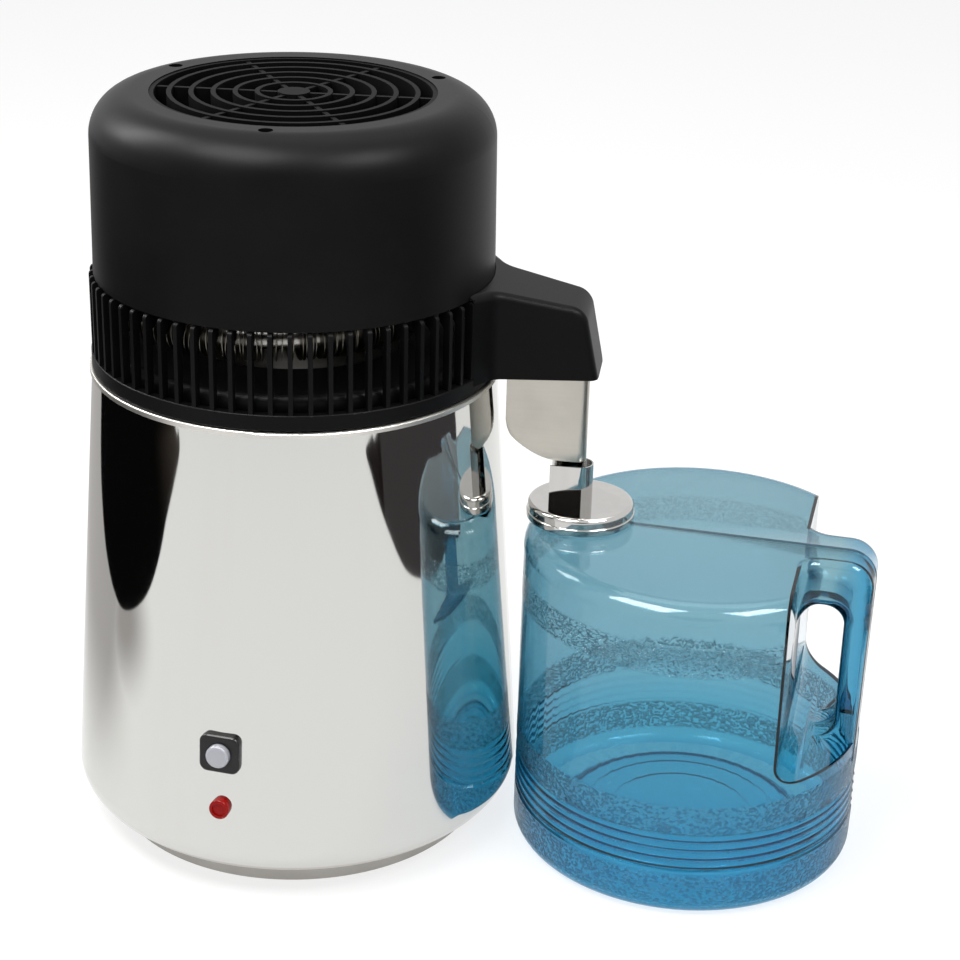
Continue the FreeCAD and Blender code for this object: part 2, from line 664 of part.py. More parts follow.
def baseBand():
    """The recessed band round the base, with the flange inside the housing."""
    return turned("base_band", [
        (panInside, sheet.PanRim),
        (panRadius, sheet.PanRim),
        (panRadius, sheet.PanFlange - sheet.SteelGauge),
        (flangeRadius, sheet.PanFlange - sheet.SteelGauge),
        (flangeRadius, sheet.PanFlange),
        (panInside, sheet.PanFlange),
    ])


def basePan():
    """The floor plate, let into the base band."""
    pan = newBody("base_pan")
    revolution(pan, [
        (0, sheet.PanFloor),
        (panInside, sheet.PanFloor),
        (panInside, sheet.PanFloor + sheet.SteelGauge),
        (0, sheet.PanFloor + sheet.SteelGauge),
    ])
    holes = circle(newSketch(pan, "XY_Plane", 0), sheet.VentHoleCircle, 0, sheet.VentHoleRadius)
    first = pad(pan, holes, sheet.PanFlange, symmetric=True, kind="PartDesign::Pocket")
    polar(pan, [first], sheet.VentHoles)
    screws = circle(newSketch(pan, "XY_Plane", 0), footCircle, 0, screwHole)
    second = pad(pan, screws, sheet.PanFlange, symmetric=True, kind="PartDesign::Pocket")
    polar(pan, [second], sheet.Feet)
    return keep(pan, "base_pan")


def rubberFeet():
    feet = newBody("rubber_feet")
    disc = circle(newSketch(feet, "XY_Plane", 0), footCircle, 0, sheet.FootRadius)
    foot = pad(feet, disc, sheet.PanFloor)
    well = circle(newSketch(feet, "XY_Plane", 0), footCircle, 0, sheet.ScrewHead + 0.5)
    recess = pad(feet, well, sheet.PanFloor - 1, kind="PartDesign::Pocket", reverse=True)
    hole = circle(newSketch(feet, "XY_Plane", 0), footCircle, 0, screwHole)
    bore = pad(feet, hole, sheet.PanFloor + 1, kind="PartDesign::Pocket", reverse=True)
    polar(feet, [foot, recess, bore], sheet.Feet)
    return keep(feet, "rubber_feet")


def footScrews():
    screws = newBody("foot_screws")
    low = sheet.PanFloor - 1
    thickness = 1.4
    disc = circle(newSketch(screws, "XY_Plane", low - thickness), footCircle, 0, sheet.ScrewHead)
    head = pad(screws, disc, thickness)
    shank = pad(screws, circle(newSketch(screws, "XY_Plane", low), footCircle, 0, sheet.ScrewRadius), 6)
    polar(screws, [head, shank], sheet.Feet)
    return keep(screws, "foot_screws")


def boilingTank():
    """The tank's wall, with the rolled rim that hooks over the housing's upper edge."""
    lip = sheet.HousingTopRadius + sheet.RimClearance
    return turned("boiling_tank", [
        (tankRadius, tankSeam),
        (tankOutside, tankSeam),
        (tankOutside, sheet.HousingTop),
        (lip, sheet.HousingTop),
        (lip, sheet.HousingTop - sheet.RimDrop),
        (rimRadius, sheet.HousingTop - sheet.RimDrop),
        (rimRadius, rimTop, 0.7),
        (tankRadius, rimTop),
    ])


def tankFloor():
    """The dished floor, seam-welded to the tank's wall."""
    gauge = sheet.SteelGauge
    return turned("tank_floor", [
        (0, sheet.TankFloor - gauge),
        (tankOutside, sheet.TankFloor - gauge, sheet.TankCorner + gauge),
        (tankOutside, tankSeam),
        (tankRadius, tankSeam),
        (tankRadius, sheet.TankFloor, sheet.TankCorner),
        (0, sheet.TankFloor),
    ])


def heaterPlate():
    plate = turned("heater_plate", [
        (0, heaterFloor),
        (sheet.HeaterRadius, heaterFloor, 1.5),
        (sheet.HeaterRadius, heaterTop),
        (0, heaterTop),
    ])
    return plate


def heatingElement():
    ring = doc.addObject("Part::Torus", "ElementRing")
    bind(ring, Radius1=sheet.ElementCircle, Radius2=sheet.ElementRadius)
    ring.Angle3 = 320
    level = heaterFloor - sheet.ElementRadius
    ring.Placement = Placement(Vector(0, 0, level.value), Rotation(Vector(0, 0, 1), 20))
    ends = []
    for side in (-1, 1):
        around = math.radians(20 * side)
        x = sheet.ElementCircle * math.cos(around)
        y = sheet.ElementCircle * math.sin(around)
        ends.append(cylinder("ElementEnd", sheet.ElementRadius, level - sheet.ElementTerminals, level, x, y))
        ends.append(cylinder("ElementPin", 1.6, level - sheet.ElementTerminals - 6, level, x, y))
        tip = doc.addObject("Part::Sphere", "ElementElbow")
        bind(tip, Radius=sheet.ElementRadius)
        tip.Placement = Placement(Vector(x.value, y.value, level.value), Rotation())
        ends.append(tip)
    return keep(fused(ring, *ends), "heating_element")


def boilStat():
    low = heaterFloor - sheet.StatHeight
    body = cylinder("StatBody", sheet.StatRadius, low, heaterFloor)
    tabs = [block("StatTab", 0.8, 6.3, low - 9, low, x=side * 6) for side in (-1, 1)]
    return keep(fused(body, *tabs), "boil_thermostat")


def thermalFuse():
    """A one-shot fuse in a clip beside the element."""
    level = heaterFloor - 3.2
    barrel = doc.addObject("Part::Cylinder", "FuseBarrel")
    barrel.Radius = 3.2
    barrel.Height = 16
    barrel.Placement = Placement(Vector(-38, 22, level.value), Rotation(Vector(0, 1, 0), 90))
    return keep(barrel, "thermal_fuse")


def panelFitting(name, frame, width, tall, corner, proud, bodyWidth, bodyTall, depth):
    """A moulding whose flange lies on the housing's cone and whose body passes through it."""
    flange = uprightRounded(block(name + "Flange", width, tall, -3, proud, frame), corner, frame)
    normal = frame.Rotation.multVec(Vector(0, 0, 1))
    face = frame.Base.dot(normal) + proud.value

    def onFace(middle, direction):
        return abs(middle.dot(normal) - face) < 0.01

    flange = rounded(flange, 1.2, onFace)
    flange = cut(flange, housingCone(name + "Skin"))
    return fused(flange, block(name + "Body", bodyWidth, bodyTall, -depth, 0.6, frame))


def buttonBezel():
    fitting = panelFitting(
        "Bezel", buttonFrame, sheet.BezelWidth, sheet.BezelTall, sheet.BezelCorner, sheet.BezelProud,
        sheet.BezelBodyWidth, sheet.BezelBodyWidth, sheet.BezelDepth)
    bore = cylinder("BezelBore", sheet.ButtonRadius + sheet.ButtonClearance, -sheet.BezelDepth - 8, 10,
                    frame=buttonFrame)
    return keep(cut(fitting, bore), "button_bezel")


buttonFloor = sheet.BezelProud - sheet.ButtonSkirt
switchFace = -sheet.BezelDepth


def pushButton():
    face = sheet.BezelProud + sheet.ButtonPressed + sheet.ButtonTravel
    return turned("push_button", [
        (0, buttonFloor - sheet.StemLength),
        (sheet.StemRadius, buttonFloor - sheet.StemLength),
        (sheet.StemRadius, buttonFloor),
        (sheet.ButtonRadius, buttonFloor),
        (sheet.ButtonRadius, face, 1.2),
        (0, face),
    ], buttonFrame)


def buttonSpring():
    """The return spring, as rings between the button's skirt and the switch."""
    rings = []
    span = buttonFloor - switchFace
    radius = sheet.StemRadius + 1.3
    for step in range(4):
        ring = doc.addObject("Part::Torus", "SpringRing")
        bind(ring, Radius1=radius)
        ring.Radius2 = 0.4
        level = switchFace.value + 0.8 + step * (span.value - 1.6) / 3
        ring.Placement = buttonFrame.multiply(Placement(Vector(0, 0, level), Rotation()))
        rings.append(ring)
    spring = doc.addObject("Part::Compound", "ButtonSpring")
    spring.Links = rings
    return keep(spring, "button_spring")


def switchBody():
    top = switchFace
    low = top - sheet.SwitchDepth
    case = block("SwitchCase", sheet.SwitchWidth, sheet.SwitchWidth, low, top, buttonFrame)
    bore = sheet.StemRadius + sheet.ButtonClearance
    well = cylinder("SwitchWell", bore, low + 2, top + 1, frame=buttonFrame)
    tabs = [block("SwitchTab", 0.8, 6.3, low - 8, low, buttonFrame, x=side * 5) for side in (-1, 1)]
    return keep(fused(cut(case, well), *tabs), "reset_switch")


def indicatorLens():
    """Flanged red lens with a slightly sunk centre."""
    ring = sheet.LensRadius - 1.7
    lens = newBody("indicator_lens", indicatorFrame)
    revolution(lens, [
        (0, -sheet.LensDepth),
        (sheet.LensBarrel, -sheet.LensDepth),
        (sheet.LensBarrel, 0.1),
        (sheet.LensRadius, 0.1),
        (sheet.LensRadius, sheet.LensProud, 0.8),
        (ring, sheet.LensProud),
        (ring, sheet.LensProud - 0.7),
        (0, sheet.LensProud - 0.4),
    ])
    reach = 2 * sheet.LensDepth
    core = cylinder("LensCore", sheet.LensBarrel, -reach, reach, frame=indicatorFrame)
    return keep(cut(lens, cut(housingCone("LensSkin"), core)), "indicator_lens")


def indicatorBody():
    low = -(sheet.LensDepth + 14)
    case = cylinder("NeonCase", sheet.LensBarrel + 1.4, low, -2.2, frame=indicatorFrame)
    well = cylinder("NeonWell", sheet.LensBarrel, -sheet.LensDepth, 0, frame=indicatorFrame)
    tabs = [block("NeonTab", 0.6, 2.8, low - 6, low, indicatorFrame, x=side * 2.6) for side in (-1, 1)]
    return keep(fused(cut(case, well), *tabs), "indicator_lamp")


def mainsInlet():
    fitting = panelFitting(
        "Inlet", inletFrame, sheet.InletWidth, sheet.InletTall, asSize(2.5), sheet.InletProud,
        sheet.InletBodyWidth, sheet.InletBodyTall, sheet.InletDepth)
    recess = uprightRounded(
        block("InletRecess", sheet.InletRecessWidth, sheet.InletRecessTall,
              -(sheet.InletDepth - 2 * sheet.FittingWall), 10, inletFrame),
        2.4, inletFrame)
    return keep(cut(fitting, recess), "mains_inlet")


def inletPins():
    floor = -(sheet.InletDepth - 2 * sheet.FittingWall)
    pins = []
    for index in (-1, 0, 1):
        drop = 0 if index == 0 else -1
        pins.append(block(
            "InletPin", sheet.PinWidth, sheet.PinTall, floor, floor + 12, inletFrame,
            x=sheet.PinPitch * index, y=sheet.PinDrop * drop + sheet.PinDrop / 2))
    group = doc.addObject("Part::Compound", "InletPins")
    group.Links = pins
    return keep(group, "inlet_pins")


def outletBody():
    """Width and height of the fan connector's body."""
    wall = 2 * sheet.FittingWall
    return sheet.OutletRecessWidth + wall, sheet.OutletRecessTall + wall


def fanOutlet():
    width, tall = outletBody()
    fitting = panelFitting(
        "Outlet", outletFrame, sheet.OutletWidth, sheet.OutletTall, asSize(2.0), sheet.InletProud,
        width, tall, sheet.OutletDepth)
    recess = block("OutletRecess", sheet.OutletRecessWidth, sheet.OutletRecessTall,
                   -(sheet.OutletDepth - sheet.FittingWall), 10, outletFrame)
    return keep(cut(fitting, recess), "fan_outlet")


def terminalBlock():
    low = sheet.PanFloor + sheet.SteelGauge
    body = block("TerminalBody", sheet.TerminalWidth, sheet.TerminalDepth, low, low + sheet.TerminalHeight,
                 x=sheet.TerminalWidth / 3, y=sheet.TerminalReach)
    return keep(body, "terminal_block")


# ---- head ---------------------------------------------------------------------------------------

def steamLid():
    """A pan lid: flange on the gasket and a shallow plug in the tank's mouth."""
    gauge = sheet.LidGauge
    plug = tankRadius - sheet.LidClearance
    flange = ventRadius - sheet.VentWall
    top = lidTop
    floor = lidTop - gauge - sheet.LidPlug
    body = newBody("LidSheet")
    revolution(body, [
        (0, floor),
        (plug, floor, 4 * gauge),
        (plug, top - gauge),
        (flange, top - gauge),
        (flange, top),
        (plug - gauge, top),
        (plug - gauge, floor + gauge, 3 * gauge),
        (0, floor + gauge),
    ])
    steam = coilStart()
    hole = cylinder("SteamHole", sheet.SteamBore, floor - 1, floor + 3, steam.x, steam.y)
    return keep(cut(body, hole), "steam_lid")


def lidGasket():
    inner = tankOutside + 0.4
    outer = ventRadius - sheet.VentWall
    return turned("lid_gasket", [
        (inner, seat),
        (outer, seat),
        (outer, seat + sheet.GasketThickness),
        (inner, seat + sheet.GasketThickness),
    ])


def ventRing():
    rimCrown = seat + sheet.RimHeight
    inside = ventRadius - sheet.VentWall
    hoopOutside = domeEdgeRadius - sheet.DomeWall - 0.3
    hoopInside = hoopOutside - 2
    rim = newBody("VentRim")
    revolution(rim, [
        (inside, seat),
        (ventRadius, seat, 0.8),
        (ventRadius, rimCrown, 0.8),
        (slatInside, rimCrown),
        (slatInside, lidTop),
        (inside, lidTop),
    ])
    hoop = newBody("VentHoop")
    revolution(hoop, [
        (hoopInside, domeEdge + 1),
        (hoopOutside, domeEdge + 1),
        (hoopOutside, domeEdge + 4.5),
        (hoopInside, domeEdge + 4.5),
    ])
    pitch = 360 / sheet.SlatPitches
    start = pitch * (sheet.SlatsLeftOut + 1) / 2
    slats = newBody("VentSlats")
    blade = outline(newSketch(slats, "XZ_Plane", turn=start.value), [
        (slatInside, rimCrown - 1),
        (slatOutside, rimCrown - 1),
        (slatOutside, slatTop, sheet.SlatTip),
        (hoopOutside, slatTop),
        (hoopOutside, domeEdge + 4),
        (hoopInside, domeEdge + 4),
        (hoopInside, slatTop - 5),
        (slatInside, slatTop - 8),
    ])
    slat = pad(slats, blade, sheet.SlatWidth, symmetric=True)
    count = sheet.SlatPitches - sheet.SlatsLeftOut
    polar(slats, [slat], count, pitch * (count - 1))
    wall = newBody("RootPanel")
    revolution(wall, [
        (slatInside + 0.6, rimCrown - 1),
        (slatOutside, rimCrown - 1),
        (slatOutside, slatTop),
        (slatInside + 0.6, slatTop),
    ], angle=pitch * (sheet.SlatsLeftOut - 0.5))
    leaving, entering = dripPoints()[1:3]
    way = Rotation(Vector(0, 0, 1), entering - leaving)
    bore = cylinder("TubeHole", dripRadius + sheet.DripClearance, 0, sheet.ArmRoot,
                    frame=Placement(leaving, way))
    whole = fused(cut(fused(rim, wall), bore), hoop, slats)
    whole.Refine = False
    return keep(whole, "vent_ring")


def airTray():
    """Ledge under the coil that turns the fan's air out through the slats."""
    top = seat + sheet.TrayTop
    wall = sheet.TrayWall
    outer = trayRadius
    return turned("air_tray", [
        (outer - wall, lidTop),
        (outer, lidTop),
        (outer, top, sheet.TrayRound),
        (sheet.TrayOpening, top),
        (sheet.TrayOpening, top - wall),
        (outer - wall, top - wall, sheet.TrayRound - wall),
    ])


def domeCover():
    wall = sheet.DomeWall
    dome = newBody("DomeShell")
    revolution(dome, [
        (domeEdgeRadius, domeEdge),
        (domeSideRadius, domeTop, sheet.ShoulderRadius),
        (grilleRadius, domeTop),
        (grilleRadius, domeTop - wall),
        (domeSideRadius - wall, domeTop - wall, sheet.ShoulderRadius - wall),
        (domeEdgeRadius - wall, domeEdge),
    ])
    parts = [dome]
    holes = []
    for x, y in screwPlaces():
        foot = bracketFloor + sheet.BracketGauge
        parts.append(cylinder("Boss", sheet.BossRadius, foot, domeTop - wall / 2, x, y))
        holes.append(cylinder("Well", sheet.CounterboreRadius, domeTop - 5, domeTop + 1, x, y))
        holes.append(cylinder("Way", screwHole, bracketFloor, domeTop, x, y))
    return keep(cut(fused(*parts), *holes), "dome_cover")


def screwPlaces():
    """The head screws stand midway between the grille's spokes."""
    places = []
    for index in range(int(sheet.HeadScrews.value)):
        spacing = 360 / sheet.HeadScrews.value
        halfSpoke = 180 / sheet.GrilleSpokes.value
        around = math.radians(sheet.GrilleTurn.value + halfSpoke + index * spacing)
        places.append((screwCircle * math.cos(around), screwCircle * math.sin(around)))
    return places


def headScrews():
    screws = []
    for x, y in screwPlaces():
        head = cylinder("ScrewHead", sheet.ScrewHead, domeTop - 5, domeTop - 3, x, y)
        shank = cylinder("ScrewShank", sheet.ScrewRadius, bracketFloor - 4, domeTop - 5, x, y)
        screws.append(fused(head, shank))
    group = doc.addObject("Part::Compound", "HeadScrewGroup")
    group.Links = screws
    return keep(group, "head_screws")


def fanGrille():
    rib = sheet.GrilleRib
    top = domeTop - sheet.GrilleDrop
    floor = top - sheet.GrilleDepth
    frame = Placement(Vector(), Rotation(Vector(0, 0, 1), sheet.GrilleTurn.value))
    grille = newBody("fan_grille", frame)
    rings = newSketch(grille, "XY_Plane", floor)
    circle(rings, 0, 0, sheet.GrilleHub)
    for index in range(int(sheet.GrilleRings.value)):
        radius = sheet.GrilleFirst + grillePitch * index
        circle(rings, 0, 0, radius - rib / 2)
        circle(rings, 0, 0, radius + rib / 2)
    circle(rings, 0, 0, grilleRadius - rib)
    circle(rings, 0, 0, grilleRadius)
    pad(grille, rings, sheet.GrilleDepth)
    bar = newSketch(grille, "XY_Plane", floor)
    outline(bar, [
        (sheet.GrilleHub - 1, -rib / 2),
        (grilleRadius - rib / 2, -rib / 2),
        (grilleRadius - rib / 2, rib / 2),
        (sheet.GrilleHub - 1, rib / 2),
    ])
    spoke = pad(grille, bar, sheet.GrilleDepth - 0.6)
    polar(grille, [spoke], sheet.GrilleSpokes)
    underside = domeTop - sheet.DomeWall
    revolution(grille, [
        (grilleRadius - rib, underside - 2),
        (grilleRadius + sheet.GrilleFlange, underside - 2),
        (grilleRadius + sheet.GrilleFlange, underside),
        (grilleRadius - rib, underside),
    ])
    return keep(grille, "fan_grille")


def motorBracket():
    spacing = 360 / sheet.HeadScrews.value
    turn = sheet.GrilleTurn.value + 180 / sheet.GrilleSpokes.value
    frame = Placement(Vector(), Rotation(Vector(0, 0, 1), turn))
    bracket = newBody("BracketSheet", frame)
    hub = newSketch(bracket, "XY_Plane", bracketFloor)
    circle(hub, 0, 0, sheet.BracketHub)
    circle(hub, 0, 0, sheet.CapRadius + 1)
    pad(bracket, hub, sheet.BracketGauge)
    strip = newSketch(bracket, "XY_Plane", bracketFloor)
    reach = screwCircle + sheet.BossRadius
    half = sheet.BracketArm / 2
    outline(strip, [
        (sheet.BracketHub - 4, -half),
        (reach, -half, half * 0.8),
        (reach, half, half * 0.8),
        (sheet.BracketHub - 4, half),
    ])
    arm = pad(bracket, strip, sheet.BracketGauge)
    polar(bracket, [arm], sheet.HeadScrews)
    low, high = bracketFloor - 1, bracketFloor + 3
    holes = [cylinder("ArmHole", screwHole, low, high, x, y) for x, y in screwPlaces()]
    holes += [cylinder("StackHole", screwHole, low, high, x) for x in stackScrews()]
    return keep(cut(bracket, *holes), "motor_bracket")


def stackScrews():
    """Motor screws stand on the X axis near the ends of the laminations."""
    reach = sheet.StackWidth / 2 - 5
    return [-reach, reach]


def motorStack():
    stack = block("Laminations", sheet.StackWidth, sheet.StackDepth, stackFloor, bracketFloor)
    stack = uprightRounded(stack, 4)
    bore = cylinder("StatorBore", sheet.RotorRadius + sheet.RotorGap, stackFloor - 1, bracketFloor + 1)
    holes = [cylinder("StackWay", screwHole, stackFloor - 1, bracketFloor + 1, x) for x in stackScrews()]
    window = block("CoilWindow", 30, 6, stackFloor - 1, bracketFloor + 1, y=sheet.StackDepth / 2 - 3)
    return keep(cut(stack, bore, window, *holes), "motor_laminations")


def motorWinding():
    spool = block("Spool", 29, 16, stackFloor - 5, bracketFloor - 3, y=sheet.StackDepth / 2 + 2)
    return keep(uprightRounded(spool, 2.5), "motor_winding")


def bearingCap(label, low, high):
    cap = cylinder(label + "Cap", sheet.CapRadius, low, high)
    bore = cylinder(label + "Bore", sheet.ShaftRadius + sheet.ShaftClearance, low - 1, high + 1)
    return keep(cut(cap, bore), label)


def motorScrews():
    screws = []
    for x in stackScrews():
        top = bracketFloor + sheet.BracketGauge
        head = cylinder("MotorScrewHead", sheet.ScrewHead, top, top + 2, x)
        shank = cylinder("MotorScrewShank", sheet.ScrewRadius, stackFloor - 3, top, x)
        screws.append(fused(head, shank))
    group = doc.addObject("Part::Compound", "MotorScrewGroup")
    group.Links = screws
    return keep(group, "motor_screws")


def fanShaft():
    return keep(cylinder("FanShaft", sheet.ShaftRadius, fanTop - sheet.FanHubHeight - 6,
                         bracketFloor + sheet.CapHeight + 1), "fan_shaft")


def motorRotor():
    ends = 1.0
    body = cylinder("Rotor", sheet.RotorRadius, stackFloor + ends, bracketFloor - ends)
    bore = cylinder("RotorBore", sheet.ShaftRadius, stackFloor, bracketFloor)
    return keep(cut(body, bore), "motor_rotor")


def fanImpeller():
    low = fanTop - sheet.FanHubHeight
    hub = cylinder("FanHub", sheet.FanHubRadius, low, fanTop)
    bore = cylinder("FanBore", sheet.ShaftRadius, low - 1, fanTop + 1)
    reach = cylinder("FanSweep", fanRadius, low - 8, fanTop + 8)
    span = fanRadius - sheet.FanHubRadius + 8
    blades = []
    for index in range(int(sheet.FanBlades.value)):
        around = Rotation(Vector(0, 0, 1), index * 360 / sheet.FanBlades.value)
        tilt = Rotation(Vector(1, 0, 0), sheet.FanBladePitch.value)
        middle = Placement(Vector(0, 0, (low.value + fanTop.value) / 2), around)
        frame = middle.multiply(Placement(Vector(), tilt))
        blades.append(block(
            "FanBlade", span, sheet.FanBladeWidth, -sheet.FanBladeThickness / 2,
            sheet.FanBladeThickness / 2, frame, x=sheet.FanHubRadius - 2 + span / 2))
    return keep(cut(shared(fused(hub, *blades), reach), bore), "fan_impeller")


def fanNut():
    low = fanTop - sheet.FanHubHeight - 4
    nut = doc.addObject("Part::Prism", "Nut")
    nut.Polygon = 6
    nut.Circumradius = 5.2
    nut.Height = 4
    nut.Placement = Placement(Vector(0, 0, low.value), Rotation())
    return keep(cut(nut, cylinder("NutBore", sheet.ShaftRadius, low - 1, low + 5)), "fan_nut")


def coilPath():
    """Half circles that step inwards, with a bend down to the lid at the inner end."""
    level = coilLevel.value
    radius = coilRadius.value
    step = sheet.CoilPitch.value / 2
    centre = 0.0
    side = 1.0
    edges = []
    for index in range(int(sheet.CoilHalfTurns.value)):
        start = Vector(centre + side * radius, 0, level)
        end = Vector(centre - side * radius, 0, level)
        crown = Vector(centre, side * radius, level)
        edges.append(Part.Arc(start, crown, end).toShape())
        centre -= side * step
        radius -= step
        side = -side
    bend = sheet.CoilBend.value
    start = Vector(centre + side * radius, 0, level)
    elbow = start + Vector(0, side * bend, -bend)
    crown = start + Vector(0, side * bend * math.sin(math.pi / 4), -bend * (1 - math.cos(math.pi / 4)))
    edges.append(Part.Arc(start, crown, elbow).toShape())
    foot = Vector(elbow.x, elbow.y, (lidTop - sheet.LidPlug - sheet.LidGauge).value)
    edges.append(Part.LineSegment(elbow, foot).toShape())
    return edges


def coilStart():
    """Where the steam enters the coil, at the lid."""
    last = coilPath()[-1]
    return last.valueAt(last.LastParameter)


def condenserCoil():
    path = Part.Wire(coilPath())
    return shaped("condenser_coil", tubeAlong(path, Vector(0, 1, 0), sheet.CoilTube.value))


def coilFins():
    """Thin round fins threaded on the half circles of the coil."""
    fins = []
    for arc in coilPath()[:int(sheet.CoilHalfTurns.value)]:
        count = int(arc.Length / sheet.FinPitch.value)
        for index in range(count):
            length = (index + 0.5) * arc.Length / count
            place = arc.valueAt(arc.getParameterByLength(length))
            along = arc.tangentAt(arc.getParameterByLength(length))
            back = place - along * (sheet.FinThickness.value / 2)
            rings = [
                Part.Wire([Part.Circle(back, along, radius.value).toShape()])
                for radius in (sheet.FinRadius, sheet.CoilTube)
            ]
            disc = Part.Face(rings, "Part::FaceMakerBullseye")
            fins.append(disc.extrude(along * sheet.FinThickness.value))
    return shaped("coil_fins", Part.makeCompound(fins))


def dripPoints():
    """From the coil's outer end, out through the arm and down inside the blade."""
    level = coilLevel.value
    return [
        Vector(coilRadius.value, 0, level),
        Vector(coilRadius.value, -sheet.DripBend.value * 1.1, level),
        Vector(dripReach.value, 0, level - sheet.DripFall.value),
        Vector(dripReach.value, 0, dripEnd.value),
    ]


def dripTube():
    bend = sheet.DripBend.value
    return shaped("drip_tube", pipe(dripPoints(), [bend * 0.7, bend], dripRadius.value))


def armForm(name, inset):
    """Plan and side outlines of the arm, pulled in by inset, and their common solid."""
    low = seat + sheet.ArmBottom + inset
    plan = newBody(name + "Plan")
    root = ventRadius - 12
    neck = ventRadius + 2
    flare = sheet.ArmFlare - inset
    outline(newSketch(plan, "XY_Plane", low), [
        (root, -flare),
        (neck - 9, -flare),
        (neck, -(sheet.ArmRoot - inset), 9),
        (armReach - inset, -(sheet.ArmTip - inset), sheet.ArmCorner),
        (armReach - inset, sheet.ArmTip - inset, sheet.ArmCorner),
        (neck, sheet.ArmRoot - inset, 9),
        (neck - 9, flare),
        (root, flare),
    ])
    pad(plan, plan.Group[0], sheet.ArmTop + 10)
    side = newBody(name + "Side")
    outline(newSketch(side, "XZ_Plane"), [
        (root, low),
        (armReach - inset, low),
        (armReach - sheet.ArmNose - inset, seat + sheet.ArmShoulder - inset, sheet.ArmKnuckle - inset),
        (root, seat + sheet.ArmTop - inset),
    ])
    pad(side, side.Group[0], 3 * sheet.ArmFlare, symmetric=True)
    return shared(plan, side)


def spoutArm():
    outer = armForm("Arm", 0)
    floor = (seat + sheet.ArmBottom).value
    crown = (seat + sheet.ArmTop).value
    start = ventRadius.value

    def alongTop(middle, direction):
        """Edges where the arm's sides meet its top and its end face."""
        if middle.z < floor + 9 or middle.x < start + 6 or abs(direction.y) > 0.9:
            return False
        return abs(direction.x) > 0.3 and middle.z < crown

    outer = rounded(outer, sheet.ArmEdge, alongTop)
    inner = armForm("ArmHollow", sheet.ArmWall)
    ring = cylinder("ArmRing", slatOutside, seat - 5, domeEdge + 0.3)
    rim = cylinder("ArmRim", ventRadius, seat - 5, seat + sheet.RimHeight)
    neck = cylinder("ArmDome", domeEdgeRadius + 0.3, seat - 5, domeTop)
    slack = 0.3
    length = bladeFront - bladeBack + 2 * slack
    width = 2 * (sheet.BladeHalfWidth + slack)
    slot = block("BladeSlot", length, width, seat, seat + sheet.ArmBottom + 8,
                 x=(bladeFront + bladeBack) / 2)
    return keep(cut(outer, inner, ring, rim, neck, slot), "spout_arm")


def spoutBlade():
    gauge = sheet.BladeGauge
    top = seat + sheet.ArmBottom + sheet.BladeHidden
    half = sheet.BladeHalfWidth
    blade = newBody("spout_blade")
    sheetPlan = outline(newSketch(blade, "XY_Plane", bladeTip), [
        (bladeBack, -half),
        (bladeFront, -half, half - 0.1),
        (bladeFront, half, half - 0.1),
        (bladeBack, half),
        (bladeBack, half - gauge),
        (bladeFront - gauge, half - gauge, half - gauge - 0.1),
        (bladeFront - gauge, gauge - half, half - gauge - 0.1),
        (bladeBack, gauge - half),
    ])
    pad(blade, sheetPlan, top - bladeTip)
    heel = bladeTip + 16.4
    corner = outline(newSketch(blade, "XZ_Plane"), [
        (bladeBack - 2, bladeTip - 2),
        (bladeBack + 18.4, bladeTip - 2),
        (bladeBack + 26, bladeTip),
        (bladeBack + 16.4, bladeTip + 1.8),
        (bladeBack + 8.6, bladeTip + 7),
        (bladeBack + 2.4, heel - 3),
        (bladeBack, heel + 4),
        (bladeBack - 2, heel + 4),
    ])
    pad(blade, corner, 60, symmetric=True, kind="PartDesign::Pocket")
    return keep(blade, "spout_blade")


def fanInlet():
    """Connector for the fan lead, on the back of the vent ring."""
    radius = ventRadius
    around = math.radians(sheet.RearTurn.value)
    outward = Vector(math.cos(around), math.sin(around), 0)
    place = outward * radius.value + Vector(0, 0, seat.value + 15)
    frame = Placement(place, Rotation(Vector(0, 0, 1).cross(outward), Vector(0, 0, 1), outward, "ZXY"))
    case = block("FanInletCase", sheet.OutletWidth, sheet.OutletTall + 6, -3, 9, frame)
    case = uprightRounded(case, 2.5, frame)
    recess = block("FanInletRecess", sheet.OutletRecessWidth, sheet.OutletRecessTall, 1.5, 12, frame)
    ring = cylinder("FanInletRing", radius, seat - 10, domeTop)
    return keep(cut(case, recess, ring), "fan_inlet")


# ---- jug and cap ----------------------------------------------------------------------------------

